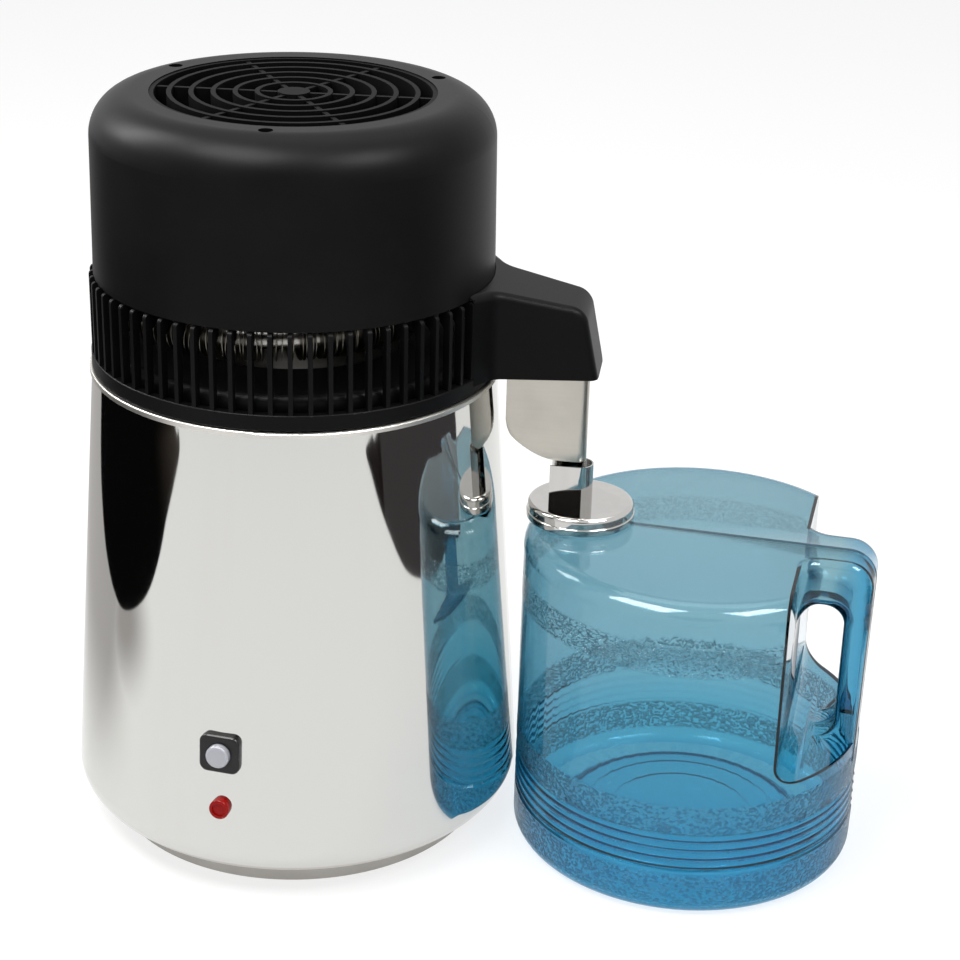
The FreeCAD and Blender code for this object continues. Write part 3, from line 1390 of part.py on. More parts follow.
def jugForm(name, inset):
    """The jug's form pulled in by inset: a drum cut back for the grip, and the handle."""
    drum = newBody(name + "Drum", jugFrame)
    floor = asSize(inset)
    radius = sheet.JugRadius - inset
    top = sheet.JugTop - inset
    inner = sheet.JugRadius - sheet.JugSeatWidth - sheet.JugFootRound
    revolution(drum, [
        (0, floor + sheet.JugPush),
        (inner - 6, floor + sheet.JugPush, 6),
        (inner + inset, floor, 4),
        (radius, floor, sheet.JugFootRound - inset),
        (radius - 0.4, top, sheet.JugShoulder - inset),
        (0, top),
    ])
    depth = sheet.JugRadius
    recess = newBody(name + "Recess", jugFrame)
    plan = outline(newSketch(recess, "XZ_Plane"), [
        (gripWall - inset, sheet.GripFloor - inset, sheet.GripCorner + inset),
        (sheet.JugRadius + 20, sheet.GripFloor - inset),
        (sheet.JugRadius + 20, sheet.JugTop + 20),
        (gripWall - inset, sheet.JugTop + 20),
    ])
    pad(recess, plan, 2 * depth, symmetric=True)
    loop = newBody(name + "Loop", jugFrame)
    wall = gripWall - inset
    root = wall - 6
    foot = sheet.GripFloor - inset
    side = outline(newSketch(loop, "XZ_Plane"), [
        (root, top),
        (handleOuter - inset, top, sheet.HandleCrown - inset),
        (handleOuter - sheet.HandleTaper - inset, foot - 12),
        (wall + 8, foot - 12),
        (wall + 8, foot),
        (handleInner + inset, foot, sheet.GripRound + inset),
        (handleInner + inset, gripTop + inset, sheet.GripRound - inset),
        (wall - sheet.GripSink, gripTop + inset, sheet.GripRound - inset),
        (wall - sheet.GripSink, foot + 20),
        (root, foot + 20),
    ])
    pad(loop, side, 2 * depth, symmetric=True)
    plan = newBody(name + "Handle", jugFrame)
    half = sheet.HandleHalfWidth - inset
    flare = half + sheet.HandleFillet + 2
    above = outline(newSketch(plan, "XY_Plane", foot - 12), [
        (root, -flare),
        (wall, -flare),
        (wall, -half, sheet.HandleFillet + inset),
        (handleOuter + 4, -half),
        (handleOuter + 4, half),
        (wall, half, sheet.HandleFillet + inset),
        (wall, flare),
        (root, flare),
    ])
    pad(plan, above, sheet.JugTop)
    loop = shared(loop, plan)
    doc.recompute()
    sideways_ = jugFrame.Rotation.multVec(Vector(0, 1, 0))
    centre = jugFrame.Base.dot(sideways_)

    def onFlank(middle, direction):
        away = abs(middle.dot(sideways_) - centre)
        inward = (middle - jugFrame.Base).dot(jugWay)
        return abs(away - half.value) < 0.01 and inward > gripWall.value

    handle = rounded(loop, sheet.HandleEdge - inset, onFlank)
    return fused(cut(drum, recess), handle)


def jugBody():
    outer = jugForm("Jug", 0)
    x = -mouthOffset
    top = sheet.JugTop
    pedestal = cylinder("Pedestal", pedestalRadius, top - 14, pedestalTop, x, frame=jugFrame)
    neck = cylinder("Neck", sheet.NeckRadius, top - 4, neckTop, x, frame=jugFrame)
    inner = jugForm("JugHollow", sheet.JugWall)
    inside = sheet.NeckRadius - sheet.NeckWall
    bore = cylinder("NeckBore", inside, top - 30, neckTop + 5, x, frame=jugFrame)
    return keep(cut(fused(outer, pedestal, neck), inner, bore), "jug_body")


def capShell():
    """The cap's skirt and rounded edge."""
    gauge = sheet.SteelGauge
    step = capBottom + sheet.CapHem
    return turned("cap_shell", [
        (capSeam, capTop - gauge),
        (capInside, capTop - gauge, sheet.CapEdge - gauge),
        (capInside, capBottom),
        (hemRadius, capBottom, 0.5),
        (hemRadius, step, 0.5),
        (capRadius, step),
        (capRadius, capTop, sheet.CapEdge),
        (capSeam, capTop),
    ], mouthFrame)


def capPlate():
    """The cap's flat top, with the drain hole inside the guide."""
    plate = cylinder("CapDisc", capSeam, capTop - sheet.SteelGauge, capTop, frame=mouthFrame)
    drain = cylinder("Drain", sheet.CapDrain, capTop - 3, capTop + 3,
                     (sheet.ChimneyFront - sheet.ChimneyBack) / 2, frame=mouthFrame)
    return keep(cut(plate, drain), "cap_plate")


def capChimney():
    gauge = sheet.ChimneyGauge
    half = sheet.ChimneyHalfWidth
    front = sheet.ChimneyFront
    guide = newBody("cap_chimney", mouthFrame)
    plan = outline(newSketch(guide, "XY_Plane", capTop), [
        (-sheet.ChimneyBack, -half),
        (front, -half, half - 0.1),
        (front, half, half - 0.1),
        (-sheet.ChimneyBack, half),
        (-sheet.ChimneyBack, half - gauge),
        (front - gauge, half - gauge, half - gauge - 0.1),
        (front - gauge, gauge - half, half - gauge - 0.1),
        (-sheet.ChimneyBack, gauge - half),
    ])
    pad(guide, plan, sheet.ChimneyHeight)
    return keep(guide, "cap_chimney")


def capLiner():
    top = capTop - sheet.SteelGauge
    hole = sheet.NeckRadius - sheet.NeckWall - 1
    edge = capInside - sheet.LinerInset
    return turned("cap_liner", [
        (hole, top - sheet.LinerThickness),
        (edge, top - sheet.LinerThickness),
        (edge, top),
        (hole, top),
    ], mouthFrame)


# ---- build ----------------------------------------------------------------------------------------

for make in (
    outerHousing, baseBand, basePan, rubberFeet, footScrews, boilingTank, tankFloor, heaterPlate,
    heatingElement, boilStat, thermalFuse, buttonBezel, pushButton, buttonSpring, switchBody,
    indicatorLens, indicatorBody, mainsInlet, inletPins, fanOutlet, terminalBlock, steamLid,
    lidGasket, ventRing, airTray, domeCover, headScrews, fanGrille, motorBracket, motorStack,
    motorWinding, motorScrews, fanShaft, motorRotor, fanImpeller, fanNut, condenserCoil, coilFins,
    dripTube, spoutArm, spoutBlade, fanInlet, jugBody, capShell, capPlate, capChimney, capLiner,
):
    make()
bearingCap("lower_bearing_cap", capFloor, stackFloor)
bearingCap("upper_bearing_cap", bracketFloor, bracketFloor + sheet.CapHeight)

doc.recompute()
for thing in doc.Objects:
    if "Invalid" in thing.State or "Error" in thing.State:
        raise RuntimeError("{} failed: {}".format(thing.Label, thing.State))
for label, thing in nodes.items():
    if thing.Shape.isNull() or not thing.Shape.isValid():
        raise RuntimeError("{} has no valid shape".format(label))

os.makedirs("parts", exist_ok=True)
for label, thing in nodes.items():
    thing.Shape.exportStep("parts/{}.step".format(label))
print("wrote {} parts".format(len(nodes)))
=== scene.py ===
import json
import math
import bmesh
import bpy
from mathutils import Matrix, Vector


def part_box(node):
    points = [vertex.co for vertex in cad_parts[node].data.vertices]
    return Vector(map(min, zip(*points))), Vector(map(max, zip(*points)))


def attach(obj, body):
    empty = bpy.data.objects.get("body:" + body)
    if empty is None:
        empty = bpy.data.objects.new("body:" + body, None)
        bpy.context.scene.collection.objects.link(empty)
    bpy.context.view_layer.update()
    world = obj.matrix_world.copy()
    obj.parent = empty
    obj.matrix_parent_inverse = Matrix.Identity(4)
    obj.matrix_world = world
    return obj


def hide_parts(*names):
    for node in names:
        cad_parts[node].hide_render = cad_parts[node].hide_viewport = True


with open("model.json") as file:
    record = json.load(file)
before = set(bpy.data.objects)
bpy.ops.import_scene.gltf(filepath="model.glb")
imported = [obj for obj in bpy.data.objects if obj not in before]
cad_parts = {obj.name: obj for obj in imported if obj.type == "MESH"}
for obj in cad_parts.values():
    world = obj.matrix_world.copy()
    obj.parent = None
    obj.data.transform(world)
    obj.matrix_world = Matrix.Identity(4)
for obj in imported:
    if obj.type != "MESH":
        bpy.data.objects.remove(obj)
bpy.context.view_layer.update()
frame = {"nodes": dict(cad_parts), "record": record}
nodes = frame["nodes"]
mm = 0.001
joinWithin = 0.001 * mm
print("frame loaded,", len(nodes), "parts")


# sums and products of patterns read as plain maths
def combine(operation, *terms):
    tree = next(term.tree for term in terms if isinstance(term, Signal))
    return tree.node("Math", {"operation": operation}, dict(enumerate(terms)))


class Signal:
    def __init__(self, tree, socket):
        self.tree = tree
        self.socket = socket

    def __add__(self, other):
        return combine("ADD", self, other)

    def __radd__(self, other):
        return combine("ADD", other, self)

    def __sub__(self, other):
        return combine("SUBTRACT", self, other)

    def __rsub__(self, other):
        return combine("SUBTRACT", other, self)

    def __mul__(self, other):
        return combine("MULTIPLY", self, other)

    def __rmul__(self, other):
        return combine("MULTIPLY", other, self)

    def __truediv__(self, other):
        return combine("DIVIDE", self, other)

    def __pow__(self, other):
        return combine("POWER", self, other)

    def __abs__(self):
        return combine("ABSOLUTE", self)

    def within(self, low, high):
        ramp = {"Value": self, "From Min": low, "From Max": high}
        return self.tree.node("MapRange", {"interpolation_type": "SMOOTHSTEP"}, ramp)

    def past(self, edges):
        # the same, between two places in millimetres
        return self.within(*(edge * mm for edge in edges))


class Tree:
    prefix = "ShaderNode"

    def __init__(self, nodeTree):
        self.tree = nodeTree
        self.tree.nodes.clear()

    def node(self, kind, settings=None, inputs=None, output=0):
        made = self.tree.nodes.new(self.prefix + kind)
        for name, value in (settings or {}).items():
            setattr(made, name, value)
        for name, value in (inputs or {}).items():
            self.feed(made.inputs[name], value)
        return Signal(self, made.outputs[output]) if made.outputs else None

    def feed(self, socket, value):
        if isinstance(value, Signal):
            self.tree.links.new(value.socket, socket)
        else:
            socket.default_value = value


class Finish(Tree):
    # the look of one material of the object
    def __init__(self, name):
        self.material = bpy.data.materials.new(name)
        self.material.use_nodes = True
        super().__init__(self.material.node_tree)
        self.place = self.node("TexCoord", output="Object")

    def parts(self, vector):
        return [self.node("SeparateXYZ", {}, {"Vector": vector}, output=axis) for axis in "XYZ"]

    def grain(self, scale, detail=2.0, stretch=(1, 1, 1)):
        stretched = self.node("Mapping", {}, {"Vector": self.place, "Scale": stretch})
        return self.node("TexNoise", {}, {"Vector": stretched, "Scale": scale, "Detail": detail})

    def shade(self, mask, first, second):
        return self.node("Mix", {"data_type": "RGBA"}, {0: mask, 6: first, 7: second}, output=2)

    def bump(self, height, depth):
        return self.node("Bump", {}, {"Height": height, "Distance": depth, "Strength": 1.0})

    def skin(self, colour, roughness, bump=None, **constants):
        inputs = {"Base Color": colour, "Roughness": roughness}
        inputs.update({name.replace("_", " "): value for name, value in constants.items()})
        if bump is not None:
            inputs["Normal"] = bump
        return self.node("BsdfPrincipled", {}, inputs, output="BSDF")

    def close(self, shader, inside=None):
        ends = {"Surface": shader} if inside is None else {"Surface": shader, "Volume": inside}
        self.node("OutputMaterial", {}, ends)
        return self.material


def rgb(red, green, blue):
    return (red, green, blue, 1.0)


def grey(level):
    return rgb(level, level, level)


def tinted(colour, share, lift=0.0):
    return rgb(*(share * part + lift for part in colour[:3]))


def halfway(first, second):
    return tuple((a + b) / 2 for a, b in zip(first, second))


steelLook = {
    "colour": rgb(0.605, 0.605, 0.583),
    "streak": rgb(0.605, 0.597, 0.570),
    # foot: colour of the painted shade and painted warm reflection along the lowest band, near the
    # floor
    "foot": rgb(0.47, 0.43, 0.385),
    "footShadeTop": (16.5, 18.5),
    "cap": rgb(0.53, 0.52, 0.505),
    "roughness": 0.03,
    "wave": 0.06,
}


def polishedSteel(name="polishedSteel", tone=steelLook["colour"], roughness=steelLook["roughness"]):
    finish = Finish(name)
    streaks = finish.grain(14, 3, (6, 6, 0.6))
    haze = finish.grain(9, 2)
    fine = finish.grain(900, 2, (1, 1, 0.05))
    x, y, z = finish.parts(finish.place)
    # painted shade and painted warm reflection: the steel turns darker and warmer along its lowest
    # band, near the floor
    foot = 1 - z.past(steelLook["footShadeTop"])
    streaked = finish.shade(streaks.within(0.40, 0.72), tone, halfway(tone, steelLook["streak"]))
    colour = finish.shade(foot * (0.8 + 0.4 * fine), streaked, steelLook["foot"])
    rough = roughness + 0.03 * haze.within(0.4, 0.8) + 0.015 * fine + 0.15 * foot
    relief = finish.bump(finish.grain(5, 1), steelLook["wave"] * mm)
    return finish.close(finish.skin(colour, rough, relief, Metallic=1.0))


def satinSteel(name, colour, roughness=0.32, along=(1, 1, 0.03)):
    finish = Finish(name)
    lines = finish.grain(700, 2, along)
    blotch = finish.grain(45, 4)
    mask = 0.6 * blotch.within(0.35, 0.7) + 0.4 * lines
    tone = finish.shade(mask, colour, tinted(colour, 0.86))
    rough = roughness + 0.10 * (lines - 0.5) + 0.06 * blotch
    return finish.close(finish.skin(tone, rough, finish.bump(lines, 0.00001), Metallic=1.0))


def mouldedPlastic(name, colour, roughness, gloss=0.35, grainDepth=0.00002, grainScale=1500):
    finish = Finish(name)
    pebble = finish.grain(grainScale, 2)
    cloud = finish.grain(22, 3)
    tone = finish.shade(0.5 * cloud.within(0.4, 0.75), colour, tinted(colour, 1.35, 0.002))
    rough = roughness + 0.07 * (cloud - 0.5) + 0.05 * (pebble - 0.5)
    relief = finish.bump(pebble, grainDepth)
    return finish.close(finish.skin(tone, rough, relief, Specular_IOR_Level=gloss))


def castMetal(name, colour, roughness, metallic=1.0):
    finish = Finish(name)
    sand = finish.grain(600, 4)
    cloud = finish.grain(60, 3)
    tone = finish.shade(cloud.within(0.35, 0.7), colour, tinted(colour, 0.75))
    rough = roughness + 0.12 * (sand - 0.5)
    relief = finish.bump(sand, 0.00004)
    return finish.close(finish.skin(tone, rough, relief, Metallic=metallic))


jugLook = {
    # top, middle and low are painted light and shade: a paler top, and a deeper blue low down where the
    # view passes through more plastic
    "top": rgb(0.95, 0.90, 0.86),
    "middle": rgb(0.90, 0.92, 0.91),
    "low": rgb(0.23, 0.72, 0.85),
    # grip: colour of the painted shade, a deeper blue over the handle
    "grip": rgb(0.34, 0.76, 0.90),
    # crease: colour of the painted shade in the wrinkles' creases
    "crease": rgb(0.02, 0.09, 0.13),
    "speckle": rgb(0.05, 0.24, 0.34),
    "seam": rgb(0.01, 0.03, 0.045),
    "roughness": 0.035,
    "ior": 1.37,
    "tint": rgb(0.02, 0.51, 0.67),
    "density": 400,
    "shadow": rgb(0.74, 0.84, 0.88),
    "relief": 0.6,
    "wall": (86.0, 86.4),
    "paintedDeepLowBlend": (0, 85),
    "paintedPaleTopBlend": (90, 172),
    "paintedGripShadeFrom": (66, 84),
    "wrinkled": (133, 147),
    "pebbled": ((7, 23), (46, 62)),
    "bandEdge": (1.0, 1.5),
    "back": (-20, 20),
    "rings": (37, 50),
    "ringWidth": (0.2, 1.6),
    "ringTop": (4, 9),
    "seamPlace": -0.6,
    "seamWidth": (1.0, 1.8),
    "seamTop": (165.5, 166.5),
    "seamFrom": (-40, -35),
    "seamOnHandle": (87, 89),
}
jugPlace = {"mouth": 144.2, "offset": 60.6, "turn": math.radians(-5.9), "radius": 87.4, "top": 168.0}
jugAxis = Vector((
    jugPlace["mouth"] + jugPlace["offset"] * math.cos(jugPlace["turn"]),
    jugPlace["offset"] * math.sin(jugPlace["turn"]),
    0,
)) * mm
jugFrame = Matrix.Translation(jugAxis) @ Matrix.Rotation(jugPlace["turn"], 4, "Z")


def bluePlastic():
    finish = Finish("bluePlastic")
    turn = Matrix.Rotation(-jugPlace["turn"], 3, "Z")
    centred = finish.node("Mapping", {}, {
        "Vector": finish.place, "Location": -(turn @ jugAxis), "Rotation": (0, 0, -jugPlace["turn"])})
    x, y, z = finish.parts(centred)
    reach = (x * x + y * y) ** 0.5
    onWall = reach.past(jugLook["wall"])
    firm, soft = jugLook["bandEdge"]

    def band(low, high):
        return z.past((low - soft, low + firm)) * (1 - z.past((high - firm, high + soft)))

    wrinkles = finish.grain(430, 2, (1, 1, 1.7))
    crease = 1 - abs(wrinkles - 0.5).within(0.01, 0.055)
    speckle = finish.grain(520, 3, (1, 1, 1.3)).within(0.44, 0.60)
    wrinkled = onWall * band(*jugLook["wrinkled"]) * (1 - 0.75 * y.past(jugLook["back"]))
    pebbled = onWall * combine("MAXIMUM", *(band(*edges) for edges in jugLook["pebbled"]))
    ringLine = 0.0
    for radius in jugLook["rings"]:
        ringLine = (1 - abs(reach - radius * mm).past(jugLook["ringWidth"])) + ringLine
    ringLine = ringLine * (1 - z.past(jugLook["ringTop"]))
    line = 1 - abs(y - jugLook["seamPlace"] * mm).past(jugLook["seamWidth"])
    onTop = z.past(jugLook["seamTop"]) * x.past(jugLook["seamFrom"])
    seam = line * combine("MAXIMUM", onTop, x.past(jugLook["seamOnHandle"]))
    height = pebbled * speckle - wrinkled * crease * 0.9 + 0.3 * ringLine
    relief = finish.bump(height, jugLook["relief"] * mm)
    # painted shade and painted light: deeper blue towards the bottom, paler towards the top
    body = finish.shade(z.past(jugLook["paintedDeepLowBlend"]), jugLook["low"], jugLook["middle"])
    body = finish.shade(z.past(jugLook["paintedPaleTopBlend"]), body, jugLook["top"])
    body = finish.shade(0.8 * pebbled * speckle, body, jugLook["speckle"])
    # painted shade: a deeper blue over the handle
    body = finish.shade(0.75 * x.past(jugLook["paintedGripShadeFrom"]), body, jugLook["grip"])
    body = finish.shade(0.9 * seam, body, jugLook["seam"])
    # painted shade: darker in the wrinkles' creases, and a little darker along the floor rings
    colour = finish.shade(0.85 * wrinkled * crease + 0.12 * ringLine, body, jugLook["crease"])
    rough = jugLook["roughness"] + 0.22 * pebbled + 0.06 * wrinkled
    plastic = finish.skin(
        colour, rough, relief, IOR=jugLook["ior"], Transmission_Weight=1.0, Specular_IOR_Level=0.5)
    clear = finish.node("BsdfTransparent", {}, {"Color": jugLook["shadow"]})
    shadow = finish.node("LightPath", output="Is Shadow Ray")
    dye = finish.node("VolumeAbsorption", {}, {
        "Color": jugLook["tint"], "Density": jugLook["density"]})
    return finish.close(finish.node("MixShader", {}, {0: shadow, 1: plastic, 2: clear}), dye)


indicator = {
    "centre": sum((Vector(corner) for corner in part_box("indicator_lens")), Vector()) / 2,
    "deep": rgb(0.33, 0.005, 0.004),
    "dull": rgb(0.25, 0.004, 0.003),
    "rim": rgb(0.10, 0.002, 0.002),
    "disc": (2.6, 3.0),
    "rimInside": (3.0, 3.4),
    "rimOutside": (4.0, 4.6),
}


def redLens():
    finish = Finish("redLens")
    swirl = finish.grain(500, 2)
    away = [part - middle for part, middle in zip(finish.parts(finish.place), indicator["centre"])]
    across = (away[0] ** 2 + away[1] ** 2 + away[2] ** 2) ** 0.5
    disc = 1 - across.past(indicator["disc"])
    rim = across.past(indicator["rimInside"]) * (1 - across.past(indicator["rimOutside"]))
    tone = finish.shade(swirl, indicator["deep"], indicator["dull"])
    tone = finish.shade(0.45 * rim + 0.15 * disc, tone, indicator["rim"])
    return finish.close(finish.skin(tone, 0.16 + 0.08 * swirl, None, Specular_IOR_Level=0.14))


finishes = {
    "stainless_polished": polishedSteel(),
    "stainless_satin": satinSteel("satinSteel", rgb(0.66, 0.64, 0.60)),
    "black_rubber": mouldedPlastic("blackRubber", rgb(0.02, 0.02, 0.02), 0.7, 0.3, 0.00005, 900),
    "zinc_steel": castMetal("zincSteel", rgb(0.62, 0.63, 0.64), 0.35),
    "aluminium_cast": castMetal("castAluminium", rgb(0.6, 0.6, 0.61), 0.5),
    "black_plastic": mouldedPlastic("blackPlastic", rgb(0.0035, 0.0035, 0.0038), 0.40, 0.075),
    "black_gloss_plastic": mouldedPlastic("glossBlack", rgb(0.010, 0.010, 0.010), 0.22, 0.3, 0.000004),
    "grey_plastic": mouldedPlastic("greyPlastic", rgb(0.44, 0.45, 0.49), 0.3, 0.45, 0.000006),
    "red_lens": redLens(),
    "nickel_brass": castMetal("nickelPins", rgb(0.7, 0.68, 0.62), 0.2),
    "cream_ceramic": mouldedPlastic("creamCeramic", rgb(0.72, 0.68, 0.55), 0.6, 0.4, 0.00004, 700),
    "silicone": mouldedPlastic("silicone", rgb(0.72, 0.72, 0.69), 0.45, 0.4, 0.00001),
    "black_screws": castMetal("blackScrews", rgb(0.03, 0.03, 0.03), 0.4, 0.6),
    "motor_iron": castMetal("motorIron", rgb(0.2, 0.2, 0.21), 0.45),
    "copper_winding": castMetal("copperWinding", rgb(0.6, 0.28, 0.13), 0.3),
    "aluminium_sheet": satinSteel("aluminiumSheet", rgb(0.78, 0.78, 0.79), 0.35),
    # painted shade: the fins' aluminium is made dark, for the shade inside the vent
    "aluminium_fins": satinSteel("finMetal", rgb(0.20, 0.188, 0.155), 0.3),
    "blue_plastic": bluePlastic(),
}
capSteel = polishedSteel("capSteel", steelLook["cap"], 0.05)
ownFinishes = {
    "cap_plate": capSteel,
    "cap_shell": capSteel,
    "cap_chimney": capSteel,
    "fan_grille": mouldedPlastic("grilleBlack", rgb(0.0025, 0.0025, 0.0028), 0.55, 0.05),
    # painted shade: the recessed base band gets a darker grey, for the shadow next to the floor
    "base_band": satinSteel("bandSteel", rgb(0.40, 0.385, 0.36), 0.38, (1, 1, 12)),
    "spout_blade": satinSteel("bladeSteel", rgb(0.50, 0.475, 0.425), 0.28, (0.03, 1, 1)),
}


def wear(piece, material):
    if not piece.material_slots:
        piece.data.materials.append(material)
    for holder in piece.material_slots:
        holder.material = material


for subpart in frame["record"]["subparts"]:
    node, slot = subpart["node"], subpart["material_slot"]
    wear(nodes[node], ownFinishes.get(node, finishes[slot]))


# a rule of nodes that makes one piece from a base shape
class Pattern(Tree):
    prefix = "GeometryNode"

    def __init__(self, name, sizes):
        super().__init__(bpy.data.node_groups.new(name, "GeometryNodeTree"))
        sockets = self.tree.interface
        sockets.new_socket(name="Shape", in_out="OUTPUT", socket_type="NodeSocketGeometry")
        sockets.new_socket(name="Shape", in_out="INPUT", socket_type="NodeSocketGeometry")
        self.sizes = sizes
        for size, value in sizes.items():
            kind = "NodeSocketInt" if isinstance(value, int) else "NodeSocketFloat"
            sockets.new_socket(name=size, in_out="INPUT", socket_type=kind)
        self.entry = self.tree.nodes.new("NodeGroupInput")

    def given(self, name):
        return Signal(self, self.entry.outputs[name])

    def opposite(self, name):
        return self.plain("ShaderNodeMath", {"operation": "MULTIPLY"}, {0: self.given(name), 1: -1.0})

    def plain(self, kind, settings=None, inputs=None, output=0):
        self.prefix = ""
        made = self.node(kind, settings, inputs, output)
        self.prefix = "GeometryNode"
        return made

    def finishWith(self, geometry, material):
        real = self.node("RealizeInstances", {}, {"Geometry": geometry})
        dressed = self.node("SetMaterial", {}, {"Geometry": real, "Material": material})
        self.plain("NodeGroupOutput", {}, {"Shape": dressed})

    def apply(self, base, name):
        modifier = base.modifiers.new(name, "NODES")
        modifier.node_group = self.tree
        for item in self.tree.interface.items_tree:
            if item.in_out == "INPUT" and item.name in self.sizes:
                modifier[item.identifier] = self.sizes[item.name]
        bpy.context.view_layer.update()
        evaluated = base.evaluated_get(bpy.context.evaluated_depsgraph_get())
        mesh = bpy.data.meshes.new_from_object(evaluated)
        bpy.data.objects.remove(base)
        return addPiece(name, mesh)


def addPiece(name, mesh):
    mesh.name = name
    piece = bpy.data.objects.new(name, mesh)
    bpy.context.scene.collection.objects.link(piece)
    return piece


def smoothPiece(piece, angle=32):
    piece.data.shade_smooth()
    piece.data.set_sharp_from_angle(angle=math.radians(angle))


def pathCurve(name, points):
    curve = bpy.data.curves.new(name, "CURVE")
    curve.dimensions = "3D"
    spline = curve.splines.new("POLY")
    spline.points.add(len(points) - 1)
    for point, place in zip(spline.points, points):
        point.co = (*place, 1)
    path = bpy.data.objects.new(name, curve)
    bpy.context.scene.collection.objects.link(path)
    return path


coil = {
    "level": 277.1,
    "radius": 83.5,
    "pitch": 22.0,
    "halfTurns": 5,
    "finRadius": 10.0,
    "finGauge": 0.35,
    "finSpacing": 2.3,
    "finSides": 26,
    "wobble": 5.0,
    "bendSteps": 48,
    "seed": 7,
}


def coilRoute():
    points = []
    centre, radius, side = 0.0, coil["radius"], 1.0
    for _ in range(coil["halfTurns"]):
        for step in range(coil["bendSteps"]):
            angle = math.pi * (step + 0.5) / coil["bendSteps"]
            across = centre + side * radius * math.cos(angle)
            points.append(Vector((across, side * radius * math.sin(angle), coil["level"])) * mm)
        centre -= side * coil["pitch"] / 2
        radius -= coil["pitch"] / 2
        side = -side
    return points


def makeFins():
    sizes = {
        "Fin Radius": coil["finRadius"] * mm,
        "Fin Gauge": coil["finGauge"] * mm,
        "Spacing": coil["finSpacing"] * mm,
        "Sides": coil["finSides"],
        "Wobble": math.radians(coil["wobble"]),
    }
    pattern = Pattern("finsAlongCoil", sizes)
    route = pattern.node("ResampleCurve", {"mode": "LENGTH"}, {
        "Curve": pattern.given("Shape"),
        "Length": pattern.given("Spacing"),
    })
    disc = pattern.node("MeshCylinder", {"fill_type": "NGON"}, {
        "Vertices": pattern.given("Sides"),
        "Radius": pattern.given("Fin Radius"),
        "Depth": pattern.given("Fin Gauge"),
    })
    along = pattern.node("InputTangent")
    facing = pattern.plain("FunctionNodeAlignRotationToVector", {"axis": "Z"}, {"Vector": along})
    lean = pattern.plain("FunctionNodeRandomValue", {"data_type": "FLOAT"}, {
        2: pattern.opposite("Wobble"), 3: pattern.given("Wobble"), "Seed": coil["seed"]}, output=1)
    tilt = pattern.plain("ShaderNodeCombineXYZ", {}, {"X": lean, "Y": lean})
    tilted = pattern.plain("FunctionNodeRotateRotation", {"rotation_space": "LOCAL"}, {
        "Rotation": facing, "Rotate By": tilt})
    fins = pattern.node("InstanceOnPoints", {}, {
        "Points": route, "Instance": disc, "Rotation": tilted})
    pattern.finishWith(fins, finishes["aluminium_fins"])
    fins = pattern.apply(pathCurve("coilRoute", coilRoute()), "coilFins")
    smoothPiece(fins)
    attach(fins, "head")
    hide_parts("coil_fins")
    print("fins on the coil:", len(fins.data.polygons), "faces")


makeFins()


cap = {
    "centre": (144.2, 0.0),
    "top": 177.6,
    "depth": 8.8,
    "outside": 26.5,
    "inside": 25.7,
    "hem": 27.1,
    "hemTall": 3.6,
    "seam": 23.8,
    "gauge": 0.8,
    "edge": 2.4,
    "lipRound": 0.3,
    "hemRound": 0.45,
    "stepRound": 0.12,
    "sides": 192,
}


def rounded(corners, steps=7):
    # corners are (across, height, rounding)
    points = []
    for index, (across, height, bend) in enumerate(corners):
        here = Vector((across, height))
        if not bend:
            points.append(here)
            continue
        before, after = (Vector(corners[(index + side) % len(corners)][:2]) - here for side in (-1, 1))
        before.normalize()
        after.normalize()
        half = before.angle(after) / 2
        middle = here + (before + after).normalized() * bend / math.sin(half)
        start = here + before * bend / math.tan(half) - middle
        sweep = start.angle_signed(here + after * bend / math.tan(half) - middle)
        for step in range(steps + 1):
            points.append(middle + Matrix.Rotation(-sweep * step / steps, 2) @ start)
    return points


def turnedPiece(name, profile, sides, centre, material):
    # spins a closed outline round an upright axis
    pattern = Pattern(name + "Turning", {"Spindle": 0.1, "Sides": sides})
    circle = pattern.node("CurvePrimitiveCircle", {"mode": "RADIUS"}, {
        "Resolution": pattern.given("Sides"), "Radius": pattern.given("Spindle")})
    shift = pattern.plain("ShaderNodeCombineXYZ", {}, {"X": pattern.opposite("Spindle")})
    held = pattern.node("Transform", {}, {"Geometry": pattern.given("Shape"), "Translation": shift})
    spun = pattern.node("CurveToMesh", {}, {"Curve": circle, "Profile Curve": held})
    pattern.finishWith(spun, material)
    flat = [Vector((point.x, -point.y, 0)) * mm for point in profile]
    outline = pathCurve(name + "Outline", flat)
    outline.data.splines[0].use_cyclic_u = True
    piece = pattern.apply(outline, name)
    mesh = bmesh.new()
    mesh.from_mesh(piece.data)
    bmesh.ops.remove_doubles(mesh, verts=mesh.verts, dist=joinWithin)
    bmesh.ops.translate(mesh, verts=mesh.verts, vec=Vector((*centre, 0)) * mm)
    bmesh.ops.recalc_face_normals(mesh, faces=mesh.faces)
    mesh.to_mesh(piece.data)
    mesh.free()
    smoothPiece(piece, 40)
    return piece


def makeCapSkirt():
    low = cap["top"] - cap["depth"]
    step = low + cap["hemTall"]
    profile = rounded([
        (cap["seam"], cap["top"] - cap["gauge"], 0),
        (cap["inside"], cap["top"] - cap["gauge"], cap["edge"] - cap["gauge"]),
        (cap["inside"], low, cap["lipRound"]),
        (cap["hem"], low, cap["hemRound"]),
        (cap["hem"], step, cap["hemRound"]),
        (cap["outside"], step, cap["stepRound"]),
        (cap["outside"], cap["top"], cap["edge"]),
        (cap["seam"], cap["top"], 0),
    ])
    skirt = turnedPiece("capSkirt", profile, cap["sides"], cap["centre"], capSteel)
    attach(skirt, "jug_cap")
    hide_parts("cap_shell")
    print("cap turned:", len(skirt.data.polygons), "faces")


makeCapSkirt()


